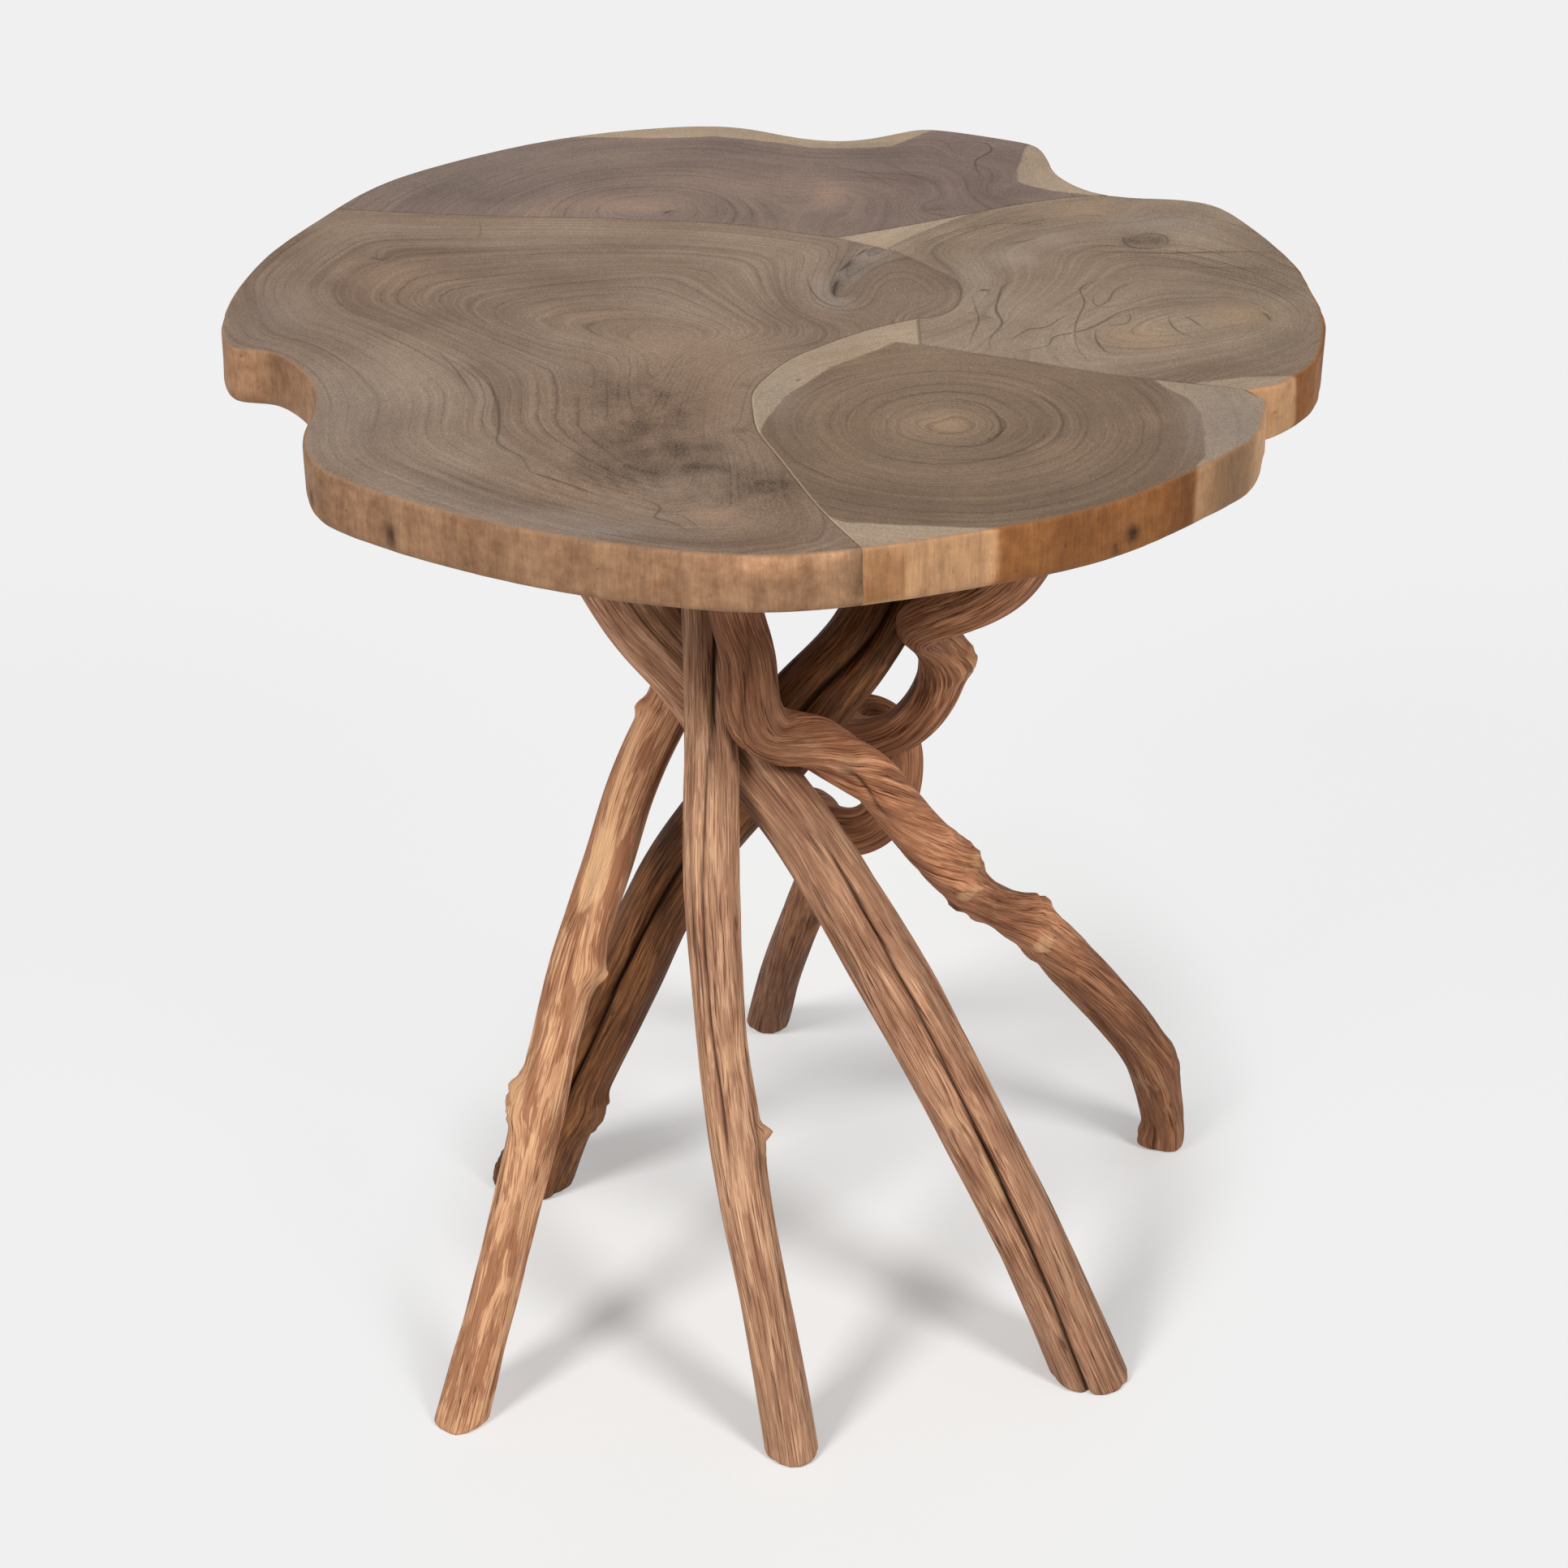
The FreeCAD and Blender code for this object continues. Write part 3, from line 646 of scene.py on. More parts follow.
def slab_piece(name, chains, figure, material, slot, seed):
    """One glued piece of the top, from its plan loop of live-edge and seam chains."""
    loop = np.vstack([points[:-1] for points, live, value in chains])
    live_run = []
    is_live = []
    line = []
    edge_end = 0.0
    for points, live, value in chains:
        steps = len(points) - 1
        run = value + run_of(points) if live else np.zeros(steps + 1)
        run[0] = run[0] if live else edge_end
        edge_end = run[-1]
        live_run.append(run[:-1])
        is_live += [live] * steps
        line += [0.0 if live else value] * steps
    live_run = np.concatenate(live_run)
    live = np.array(is_live, float)
    ahead = np.roll(loop, -1, axis=0) - loop
    ahead = ahead / np.linalg.norm(ahead, axis=1)[:, None]
    after = np.stack([-ahead[:, 1], ahead[:, 0]], axis=1)
    before = np.roll(after, 1, axis=0)
    live_before = np.roll(live, 1)
    count = len(loop)

    rings = []
    heights = []
    for z, live_inset, seam_inset, rough in edge_levels():
        wave = np.zeros(count)
        for height, width, tall, wave_seed in EDGE_WAVES:
            wave += height * noise(loop[:, 0] / width, loop[:, 1] / width, z / tall, wave_seed)
        inset = live_inset + rough * (EDGE_DRAW - wave)
        first = np.where(live_before > 0, inset, seam_inset)
        second = np.where(live > 0, inset, seam_inset)
        rings.append(loop + corner_shift(before, after, first, second))
        heights.append(np.full(count, z))
    levels = len(rings)
    faces = []
    for level in range(levels - 1):
        base = level * count
        for i in range(count):
            j = (i + 1) % count
            faces.append((base + i, base + count + i, base + count + j, base + j))
    upper, sunk = cap_points(rings[0], CAP_SPACING, figure.get("cracks", []), seed)
    lower = cap_points(rings[-1], UNDERSIDE_SPACING, [], seed + 5)[0]
    upper_at = levels * count
    lower_at = upper_at + len(upper)

    def renumber(face, ring_at, inner_at):
        return tuple(ring_at + v if v < count else inner_at + v - count for v in face)

    for face in filled(rings[0], upper):
        faces.append(renumber(face, 0, upper_at))
    for face in filled(rings[-1], lower):
        faces.append(renumber(face, (levels - 1) * count, lower_at)[::-1])
    plan = np.vstack(rings + [upper, lower])
    z = np.concatenate(heights + [TOP - sunk, np.full(len(lower), UNDERSIDE)])

    bark = np.vstack([points for points, is_bark, value in chains if is_bark] or [loop])
    fields = figure_fields(plan[:, 0], plan[:, 1], figure, bark)
    wall = np.zeros(len(plan))
    either = np.maximum(live, live_before)
    for level in range(levels):
        amount = np.clip((level - 1) / 2, 0, 1) if level < levels - 2 else 0.0
        wall[level * count:(level + 1) * count] = either * amount
    run = np.zeros(len(plan))
    run[:levels * count] = np.tile(live_run, levels)
    crack = np.zeros(len(plan))
    crack[upper_at:lower_at] = np.clip(sunk * CRACK_DARKENING, 0, CRACK_DARKEST)
    for cx, cy, below, half, tall, amount in figure.get("edge_spots", []):
        away = ((plan[:, 0] - cx) ** 2 + (plan[:, 1] - cy) ** 2) / half ** 2 + ((TOP - below - z) / tall) ** 2
        fields["edge_tone_and_painted_light"] += amount * np.exp(-away)
    seam = np.zeros(len(plan))
    seam[count:2 * count] = line
    fields.update({"live": wall, "run": run * MM, "crack": crack, "seam": seam})
    points = np.column_stack([plan, z])
    make_piece(name, points, faces, fields, name, slot, material, SLAB_SHARP)


seam_lines = {key: dense(points) for key, points in SEAMS.items()}


def edge_crossing(line):
    """Where a seam runs out through the live edge: place along the outline and the cut seam."""
    within = inside(line[:, 0], line[:, 1], outline)
    last = np.flatnonzero(within)[-1]
    gaps = np.hypot(outline[:, 0] - line[last, 0], outline[:, 1] - line[last, 1])
    at = int(gaps.argmin())
    return at, np.vstack([line[:last], outline[at]])


crossings = {}
for key in ("back_left", "back_right", "left_front", "front_right"):
    crossings[key], seam_lines[key] = edge_crossing(seam_lines[key])
outline_run = run_of(outline)


def live_chain(start_seam, end_seam):
    """Live edge between two seams, counterclockwise, with its distance along the whole edge."""
    first = crossings[start_seam]
    last = crossings[end_seam]
    picks = np.arange(first, last + 1 if last > first else last + 1 + len(outline)) % len(outline)
    return even(outline[picks], EDGE_SPACING, CORNER_ROOM, CORNER_ROOM), True, outline_run[first]


def seam_chain(key, reverse=False, line=SEAM_LINE):
    """A seam and its line's darkness, with room beside the live edge and the wedge's sharp corner."""
    first_room = WEDGE_ROOM if key == "wedge_right" else 0.0
    last_room = WEDGE_ROOM if key == "wedge_back" else SEAM_ROOM if key in crossings else 0.0
    points = even(seam_lines[key], EDGE_SPACING, first_room, last_room)
    return (points[::-1] if reverse else points), False, line


slab_chains = {
    "slab_back": [
        live_chain("back_right", "back_left"), seam_chain("back_left", True), seam_chain("wedge_back"),
        seam_chain("back_right")],
    "slab_left": [
        live_chain("back_left", "left_front"), seam_chain("left_front", True), seam_chain("tongue", True),
        seam_chain("wedge_left"), seam_chain("back_left")],
    "slab_front": [
        live_chain("left_front", "front_right"), seam_chain("front_right", True),
        seam_chain("sapwood", True), seam_chain("left_front", line=GLUE_LINE)],
    "slab_right": [
        live_chain("front_right", "back_right"), seam_chain("back_right", True),
        seam_chain("wedge_right"), seam_chain("tongue"), seam_chain("sapwood"), seam_chain("front_right")],
    "wedge": [
        seam_chain("wedge_left", True), seam_chain("wedge_right", True), seam_chain("wedge_back", True)],
}

# Figure of each piece: growth centres, bark lines, loops around sapwood, and spots.
# Cracks are lines with a half width and a depth, and stronger rings are soft spots.
FIGURES = {
    "slab_back": {
        "follow": True, "rings": 110.0, "margin": 14.0, "bold": 0.5,
        "hearts": [[(-70, 136, 0), (-54, 137, 0)], [(22, 148, 44), (34, 158, 44)]],
        "bolder": [(-62, 160, 62, 40, 0.45), (70, 185, 40, 30, 0.3)],
        "sap": [
            [(-105, 238), (-60, 236), (-30, 239), (0, 230), (20, 222), (40, 221), (60, 224), (72, 238),
              (80, 247), (88, 266), (-30, 275), (-130, 262)],
            [(140, 236), (128, 224), (122, 190), (121, 172), (128, 166), (138, 160), (150, 156),
              (170, 150), (175, 230)]],
        "knots": [(77, 137, 12, 9), (113, 159, 14, 10), (100, 215, 14, 12)],
        "tone": [
            (-40, 218, 110, 10, -0.08), (-62, 140, 40, 22, 0.07), (30, 152, 22, 20, 0.08),
            (78, 136, 7, 4, -0.16), (-142, 147, 5, 3, -0.2), (-51, 131, 4, 2, -0.2)],
        "smudges": [
            (-16, 131, 18, 16, -0.22), (-175, 170, 46, 36, -0.11), (110, 190, 14, 36, -0.06),
            (84, 165, 26, 14, 0.06), (120, 156, 14, 9, -0.14), (0, 165, 110, 45, 0.05)],
        "warm": [
            (-76, 142, 32, 12, 0.55), (28, 152, 10, 16, 0.55), (-10, 172, 80, 20, 0.2),
            (-150, 180, 60, 30, -0.25), (60, 195, 50, 18, -0.2), (-90, 215, 60, 14, -0.2)],
        "cracks": [
            ([(90, 228), (100, 231), (108, 228), (110, 220), (107, 212), (102, 205), (101, 195),
              (103, 180)], 1.1, 0.16),
            ([(-53, 128), (-51, 132), (-47, 134)], 0.7, 0.3),
            ([(74, 137), (79, 135), (84, 136)], 0.6, 0.15),
            ([(12, 205), (30, 195), (47, 184), (58, 168), (75, 158)], 1.0, 0.09),
            ([(48, 205), (62, 193), (72, 178), (86, 166)], 1.0, 0.08)],
    },
    "slab_left": {
        "reach": (-47, -38, 0.25), "follow": True, "rings": 150.0, "crowding": 0.75, "margin": 10.0,
        "bold": 0.85,
        "hearts": [
            [(-47, -38, 0), (-52, -80, 1), (-54, -120, 4), (-46, -160, 12), (-36, -200, 32),
              (-28, -240, 60)]],
        "bolder": [
            (-50, -135, 36, 50, -0.5), (-175, -110, 28, 80, -0.5), (-225, 20, 26, 60, -0.4),
            (-120, 112, 130, 14, -0.5), (-110, -210, 70, 18, -0.5), (-46, -30, 26, 16, -0.45),
            (-8, -218, 40, 28, -0.5)],
        "bark": [
            (SEAMS["back_left"][:-1], 8.0), ([(30, 16), (31, 35), (37, 55), (43, 72), (52, 88)], 2.0),
            (SEAMS["left_front"][4:-1], 14.0), (SEAMS["tongue"], 8.0)],
        "sap": [],
        "knots": [(-187, 70, 8, 6), (-14, -128, 7, 6), (-30, -214, 9, 9)],
        "tone": [
            (-14, -128, 6, 3, -0.2), (-12, -80, 6, 3, -0.16), (-187, 70, 7, 3, -0.16),
            (-120, 118, 130, 10, 0.08), (-225, 10, 26, 60, 0.05), (-110, -218, 60, 10, 0.05),
            (8, -200, 14, 34, -0.1), (-24, -212, 9, 7, 0.1), (62, 34, 24, 22, -0.19),
            (20, 0, 36, 14, -0.06), (-120, -20, 16, 60, -0.06), (29.5, 34, 3, 11, -0.4),
            (36, 62, 4, 9, -0.28), (0, 72, 24, 22, 0.06), (21, 34, 4, 18, 0.12), (31, 14, 7, 4, 0.12),
            (50, 82, 6, 6, -0.12), (-52, -122, 34, 56, -0.2), (-86, 1, 20, 9, 0.07),
            (-5, -215, 26, 22, -0.08), (-64, -178, 26, 14, -0.1), (-8, -186, 18, 18, -0.12),
            (-62, -90, 16, 20, -0.1), (-82, -217, 22, 9, 0.1)],
        "smudges": [
            (-54, -108, 30, 50, -0.22), (-62, -132, 18, 10, -0.22), (-35, -150, 17, 12, -0.32),
            (-42, -167, 28, 7, -0.22), (2, -182, 9, 9, -0.18), (-75, -80, 12, 22, -0.08),
            (-10, -200, 22, 26, -0.1), (-200, 60, 40, 40, 0.05), (-22, -168, 20, 12, -0.14),
            (-72, -152, 16, 14, -0.12), (-64, -176, 22, 13, -0.14), (-10, -184, 16, 16, -0.16)],
        "curls": [(-76, -181, 34, 11, 0.1), (-30, -192, 20, 9, 0.07)],
        "warm": [
            (-80, 0, 20, 9, 0.35), (-38, -45, 34, 34, 0.35), (-178, 45, 22, 20, 0.4),
            (-82, -185, 24, 16, 0.5), (-22, -85, 12, 28, 0.35), (62, 36, 18, 16, 0.25),
            (-24, -212, 10, 8, 0.6), (0, -195, 24, 40, 0.5), (-52, -122, 40, 54, 0.8),
            (-140, -192, 28, 12, -0.5), (-100, -213, 30, 11, -0.6), (-66, -227, 24, 8, -0.7),
            (-180, -110, 24, 50, -0.5), (-225, 0, 24, 40, -0.4), (24, 34, 7, 18, -0.85),
            (31, 16, 9, 7, -0.8), (46, 74, 9, 12, -0.85), (37, 52, 7, 16, -0.85)],
        "cracks": [
            ([(29, 22), (28.5, 32), (31, 44)], 1.7, 0.3), ([(30, 52), (34, 60), (38, 69)], 1.6, 0.2),
            ([(39, 72), (42, 78), (46, 84)], 1.2, 0.2),
            ([(17, 52), (18, 30), (25, 14), (31, 11), (39, 20)], 1.0, 0.14),
            ([(-138, -50), (-125, -75), (-120, -90), (-117, -110), (-116, -130), (-115, -142),
              (-105, -155), (-100, -170), (-92, -178)], 1.2, 0.14),
            ([(-150, -40), (-141, -58), (-133, -80), (-127, -100)], 1.1, 0.12),
            ([(-62, -194), (-50, -199), (-45, -206), (-47, -214), (-40, -219), (-34, -226),
              (-28, -228)], 1.0, 0.13),
            ([(-43, -212), (-37, -212), (-33, -217), (-30, -222), (-31, -228)], 0.9, 0.1),
            ([(-190, 72), (-187, 70), (-182, 69)], 1.0, 0.2),
            ([(-142, 120), (-140, 105), (-141, 90)], 0.5, 0.12),
            ([(-104, -168), (-92, -176), (-84, -182), (-70, -194)], 1.1, 0.16)],
        "edge_tone_and_painted_light": [
            (37, -244, 5, 20, -0.5), (-245, -8, 14, 34, 0.14), (-20, -248, 46, 14, 0.08),
            # The last two spots are painted light on the side of the left lobe and painted shade in the notch
            # beside it
            (-238, -38, 12, 12, 0.2), (-220, -48, 8, 8, -0.15)],
        "edge_spots": [
            (-157, -194, 18, 2.6, 6, -0.95), (-194, -158, 18, 3, 4, -0.85),
            (-173, -182, 6, 2.5, 2.5, 0.35), (-125, -213, 6, 2.5, 2.5, 0.3), (-46, -244, 12, 4, 4, 0.25),
            (36, -245, 23, 2, 3, 0.6), (-2, -250, 4, 16, 5, 0.75), (27, -248, 2, 10, 3, 0.5),
            (-236, -41, 24, 6, 5, -0.35), (-110, -222, 20, 20, 5, -0.12)],
    },
    "slab_right": {
        "follow": True, "rings": 105.0, "margin": 26.0, "bold": 0.5,
        "hearts": [[(150, -22, 14), (170, -18, 6), (190, -8, 2), (212, 0, 0)]],
        "bolder": [(195, 60, 55, 30, 0.35), (95, 105, 30, 25, 0.2), (170, -25, 30, 30, 0.3)],
        "bark": [(SEAMS["tongue"], 12.0), (SEAMS["wedge_right"], 8.0), (SEAMS["back_right"][:-1], 12.0)],
        "sap": [[(184, -77), (206, -71.5), (232, -69), (244, -72), (225, -95), (205, -92)]],
        "knots": [(177, 92, 11, 6), (168, 128, 10, 6), (100, -5, 7, 6)],
        "tone": [
            (171, 93, 5, 7, -0.48), (182, 94, 6, 7, -0.5), (76, 90, 12, 14, -0.15),
            (97, 111, 14, 10, -0.16), (124, 117, 16, 8, -0.15), (224, -22, 16, 18, -0.13),
            (185, 116, 26, 13, 0.06), (150, 136, 14, 9, 0.08), (92, 52, 12, 14, 0.08),
            (114, 72, 15, 14, 0.19), (133, 95, 12, 10, 0.12), (195, 78, 46, 3, -0.08),
            (205, 34, 44, 26, -0.11), (235, 50, 14, 50, -0.08), (226, -50, 24, 18, -0.06),
            (165, -25, 18, 16, 0.06), (100, 10, 16, 26, 0.05), (120, -55, 50, 5, 0.04)],
        "warm": [
            (212, 0, 14, 13, 0.75), (166, -24, 18, 16, 0.55), (150, 134, 16, 10, 0.4),
            (90, 105, 20, 14, 0.15), (185, 116, 26, 13, -0.85), (92, 52, 12, 14, -0.5),
            (112, 74, 14, 14, -0.6), (133, 95, 12, 10, -0.5), (100, 10, 16, 26, -0.25)],
        "cracks": [
            ([(147, 80), (167, 78), (185, 77), (202, 78), (226, 79), (241, 77)], 1.1, 0.18),
            ([(145, 83), (155, 87), (165, 85)], 0.9, 0.12),
            ([(168, 101), (167, 92), (170, 85), (187, 85)], 1.2, 0.16),
            ([(187, 86), (188, 94), (186, 101), (178, 102), (174, 96)], 1.2, 0.14),
            ([(183, 58), (193, 59), (211, 58.5), (232, 56), (239, 47)], 0.8, 0.1),
            ([(91, 26), (92, 20), (93, 6), (93.5, -6), (90, -23), (88.5, -38)], 0.9, 0.13),
            ([(117, 47), (110, 40), (106, 33), (104, 21), (102, 6), (104, -9), (99, -23), (97, -37),
              (98, -42)], 1.1, 0.17),
            ([(85, 5), (92, 2), (102, -6)], 0.8, 0.13),
            ([(100, -29), (111, -23), (116, -16), (123, -14), (129, -6), (138, 2)], 1.0, 0.16),
            ([(106, -45), (111, -41), (123, -35), (126, -26), (136, -20), (147, -11), (155, 0),
              (161, 6), (173, 11), (179, 12)], 1.0, 0.16),
            ([(163, 54), (147, 39), (142, 31), (143, 18), (141, 6), (138, -6), (136, -20), (136, -35),
              (139, -50), (143, -55)], 0.9, 0.14),
            ([(172, 43), (157, 28), (154, 18), (147, 9), (141, 0)], 0.9, 0.14),
            ([(149, 27), (147, 18), (149, 11), (161, 15)], 0.8, 0.13),
            ([(147, -14), (145, -26), (147, -38), (150, -44), (157, -44)], 1.0, 0.16),
            ([(162, 5), (161, -8), (157, -11), (149, -12)], 0.9, 0.15),
            ([(180, 1), (180, -8), (182, -17), (189, -26)], 1.0, 0.15),
            ([(186, 2), (191, -7), (195, -16)], 0.9, 0.15), ([(222, 5), (224, 2), (226, -8)], 1.0, 0.18),
            ([(110, 88), (120, 93), (128, 98)], 1.0, 0.13), ([(95, 29), (98, 31), (101, 30)], 1.4, 0.22),
            ([(66, 82), (84, 103), (110, 116), (138, 108)], 0.8, 0.1)],
    },
    "slab_front": {
        "follow": False, "rings": 62.0, "margin": 10.0, "bold": 0.6,
        "hearts": [[(73, -122, 0), (77, -120, 0)]],
        "bolder": [(78, -121, 60, 58, 0.5), (97, -120, 10, 26, 0.3)],
        "sap": [
            [(72, -36), (56, -31), (27, -59), (6, -91), (-3, -120), (-5, -131), (-22, -120), (-20, -60),
              (20, -15), (66, 8), (76, -20)],
            [(160, -64), (168, -76), (180, -95), (185, -110), (184, -125), (182, -155), (177, -164),
              (178, -190), (240, -160), (240, -80)],
            [(17, -205), (22, -213), (30, -219), (45, -221), (65, -222), (92, -225), (96, -226),
              (96, -262), (56, -262), (54, -238.6), (45, -241), (36, -243.8), (28, -244)]],
        "knots": [(71, -116, 7, 3), (80, -127, 8, -3), (97, -106, 12, 2.5), (50, -140, 14, -2.5)],
        "tone": [
            (75, -121, 12, 11, 0.1), (90, -118, 8, 18, -0.06), (54, -18, 12, 14, 0.08),
            (104, -95, 26, 30, -0.04), (70, -190, 60, 30, 0.03), (6, -88, 14, 24, 0.04),
            (170, -120, 16, 40, -0.05), (42, -232, 22, 7, 0.12)],
        "warm": [
            (75, -121, 11, 10, 0.85), (74, -120, 24, 22, 0.2), (118, -147, 16, 9, 0.35),
            (165, -115, 10, 18, 0.3), (32, -48, 16, 9, 0.4), (24, -120, 22, 44, 0.15),
            (4, -92, 12, 26, -0.45), (198, -118, 24, 46, -0.85)],
        "cracks": [
            ([(68, -96), (80, -95), (92, -102), (97, -115), (97, -130), (88, -143), (75, -144),
              (60, -138), (53, -128)], 1.3, 0.14),
            ([(98, -82), (112, -89), (122, -104), (124, -122), (118, -140), (104, -153), (84, -158),
              (62, -156), (45, -146)], 1.1, 0.1),
            ([(106, -74), (120, -81), (131, -98), (135, -118), (130, -142), (115, -160), (90, -172),
              (62, -173), (40, -163)], 1.0, 0.08),
            ([(66, -110), (62, -120), (67, -130), (77, -131), (84, -124)], 0.7, 0.08),
            ([(10, -75), (13, -73)], 1.3, 0.22)],
        "edge_tone_and_painted_light": [
            (46, -242, 7, 30, -0.1), (68, -233, 14, 30, -0.07), (62, -236, 1.4, 30, -0.2),
            (69, -233, 1.8, 30, -0.2), (84, -229, 2.2, 30, -0.16), (91, -227, 4, 30, 0.14),
            # The last spot is painted shade on the side where it turns away at the right front
            (118, -214, 8, 20, -0.08), (172, -170, 6, 14, -0.26), (194, -150, 16, 22, -0.58)],
        "edge_spots": [(149, -194, 17, 3.6, 4, -0.95), (141, -199, 22, 2.5, 3, -0.7)],
    },
    "wedge": {
        "follow": False, "rings": 100.0, "margin": 10.0, "bold": 0.6,
        "hearts": [[(-60, 200, 0), (-61, 200, 0)]],
        "sap": [[(-20, 60), (60, 40), (140, 130), (100, 170)]],
        "tone": [(60, 105, 60, 60, 0.04)],
        "warm": [],
    },
}

# Live edges: dark, middle, light and sapwood
TAN_EDGE = [(98, 65, 42), (141, 105, 77), (168, 131, 98), (170, 132, 98)]
ORANGE_EDGE = [(104, 60, 28), (132, 83, 42), (156, 104, 60), (186, 142, 102)]
# Heartwood of each piece from dark to light, its warm middle, and its live edge
SLAB_LOOKS = {
    "slab_back": ("teak_back", [(109, 92, 84), (126, 108, 98), (142, 121, 106)], (154, 127, 109), TAN_EDGE),
    "slab_left": ("teak_left", [(112, 92, 77), (136, 115, 98), (153, 133, 115)], (157, 128, 106), TAN_EDGE),
    "slab_right": (
        "teak_right", [(115, 96, 80), (140, 120, 102), (156, 137, 118)], (160, 134, 106), ORANGE_EDGE),
    "slab_front": (
        "teak_front", [(103, 85, 69), (123, 102, 84), (137, 115, 96)], (150, 125, 101), ORANGE_EDGE),
    "wedge": ("teak_sapwood", [(150, 132, 115), (164, 145, 127), (172, 153, 134)], (165, 140, 120), TAN_EDGE),
}
FIRST_SEED = 40
SEED_STEP = 10
for number, (node, (slot, heart, warm, edge)) in enumerate(SLAB_LOOKS.items()):
    wood = slab_material(slot, colours(heart), colour(*warm), colours(edge))
    slab_piece(node, slab_chains[node], FIGURES[node], wood, slot, FIRST_SEED + SEED_STEP * number)


# Branches

BRANCHES = {
    "leg_front_left": (24.0, [
        (-151, -155, 0, 1.04), (-137, -130, 46, 0.96), (-124, -108, 93, 0.96), (-114, -90, 131, 1.04),
        (-105, -74, 165, 0.96), (-95, -55, 199, 1.0), (-80, -31, 238, 1.0), (-70, -13, 267, 1.0),
        (-57, 3, 293, 1.0), (-45, 18, 316, 1.0), (-26, 76, 402, 1.0), (-5, 138, 483, 1.0)]),
    "leg_front_right": (34.0, [
        (156, -121, 0, 1.03), (128, -106, 64, 1.0), (102, -94, 117, 1.0), (77, -82, 165, 1.03),
        (51, -66, 209, 1.03), (13, -42, 266, 0.97), (-6, -32, 289, 0.97), (-28, -14, 313, 0.97),
        (-46, 0, 332, 0.97), (-67, 14, 353, 1.0), (-108, 32, 430, 1.0), (-132, 44, 483, 1.0)]),
    "leg_front": (25.0, [
        (9, -180, 0, 1.0), (4, -168, 30, 1.0), (-4, -152, 72, 0.96), (-13, -135, 113, 1.0),
        (-19, -119, 149, 1.0), (-24, -103, 184, 0.96), (-27, -87, 219, 1.0), (-29, -71, 254, 1.04),
        (-29, -52, 293, 1.04), (-29, -41, 317, 1.0), (-30, -30, 341, 0.92), (-31, -18, 367, 0.88),
        (-38, 2, 440, 0.92), (-42, 10, 483, 0.96)]),
    "leg_rear_left": (37.0, [
        (-128, 44, 0, 1.08), (-109, 38, 54, 0.97), (-89, 32, 104, 0.97), (-74, 26, 141, 0.97),
        (-45, 13, 212, 0.97), (-10, 1, 270, 1.03), (18, 6, 307, 1.1), (44, 25, 331, 1.0),
        (82, 50, 408, 0.97), (110, 70, 483, 0.97)]),
    "vine_leg_right": (25.0, [
        (209, 79, 0, 0.88), (209, 77, 15, 0.88), (205, 75, 35, 0.96), (198, 71, 60, 1.0),
        (182, 62, 92, 1.04), (159, 51, 125, 1.04), (129, 37, 164, 0.98), (105, 21, 189, 0.88),
        (84, 8, 218, 1.04), (68, -8, 248, 1.0), (50, -22, 278, 0.96), (30, -32, 300, 1.0),
        (13, -38, 311, 1.0), (-3, -43, 320, 1.08), (-10, -48, 341, 1.1), (-11, -47, 361, 1.04),
        (-16, -43, 380, 1.0), (-22, -40, 440, 0.96), (-28, -36, 483, 0.96)]),
    "vine_leg_rear": (25.0, [
        (-4, 197, 0, 0.88), (6, 155, 69, 0.88), (18, 122, 125, 0.92), (27, 96, 169, 0.92),
        (27, 80, 196, 0.92), (19, 66, 213, 0.92), (12, 52, 221, 0.92), (20, 38, 223, 0.92),
        (40, 33, 220, 0.96), (57, 40, 229, 0.96), (63, 57, 246, 0.96), (59, 73, 256, 0.92),
        (46, 77, 262, 0.88), (35, 64, 265, 0.86), (42, 45, 268, 0.84), (60, 34, 276, 0.86),
        (76, 34, 292, 0.92), (83, 33, 313, 0.98), (79, 22, 333, 0.96), (71, 6, 348, 0.92),
        (75, -9, 361, 0.96), (92, -11, 369, 1.06), (110, -1, 377, 1.12), (122, 11, 390, 1.12),
        (136, 20, 430, 1.12), (142, 26, 483, 1.12)]),
}
END_STOCK = 25.0
LAP_LENGTH = 46.0
TOP_BITE = 0.4
ROW_SPACING = 2.1
POINTS_AROUND = 84
FOOT_ROUND = 2.2
FOOT_EASE = 0.8
# Rows close to the foot, the first and last even rows, and how far the pull of a sawn end reaches
FOOT_ROWS = [0, 0.7, 1.6, 2.8, 4.3]
FIRST_ROW = 6
LAST_ROW = 3
END_PULL = 45
CUT_SPAN = 60
# Rings on a sawn end as shares of its radius, and the radius that its growth rings are drawn for
END_SHARES = (0.98, 0.6, 0.25)
END_RADIUS = 14.0
# Grooves wander by degrees, fade in and out over a length, and run on to the head when they end close to it
GROOVE_WANDER = 2.5
GROOVE_FADE = 40
GROOVE_HEAD = 10
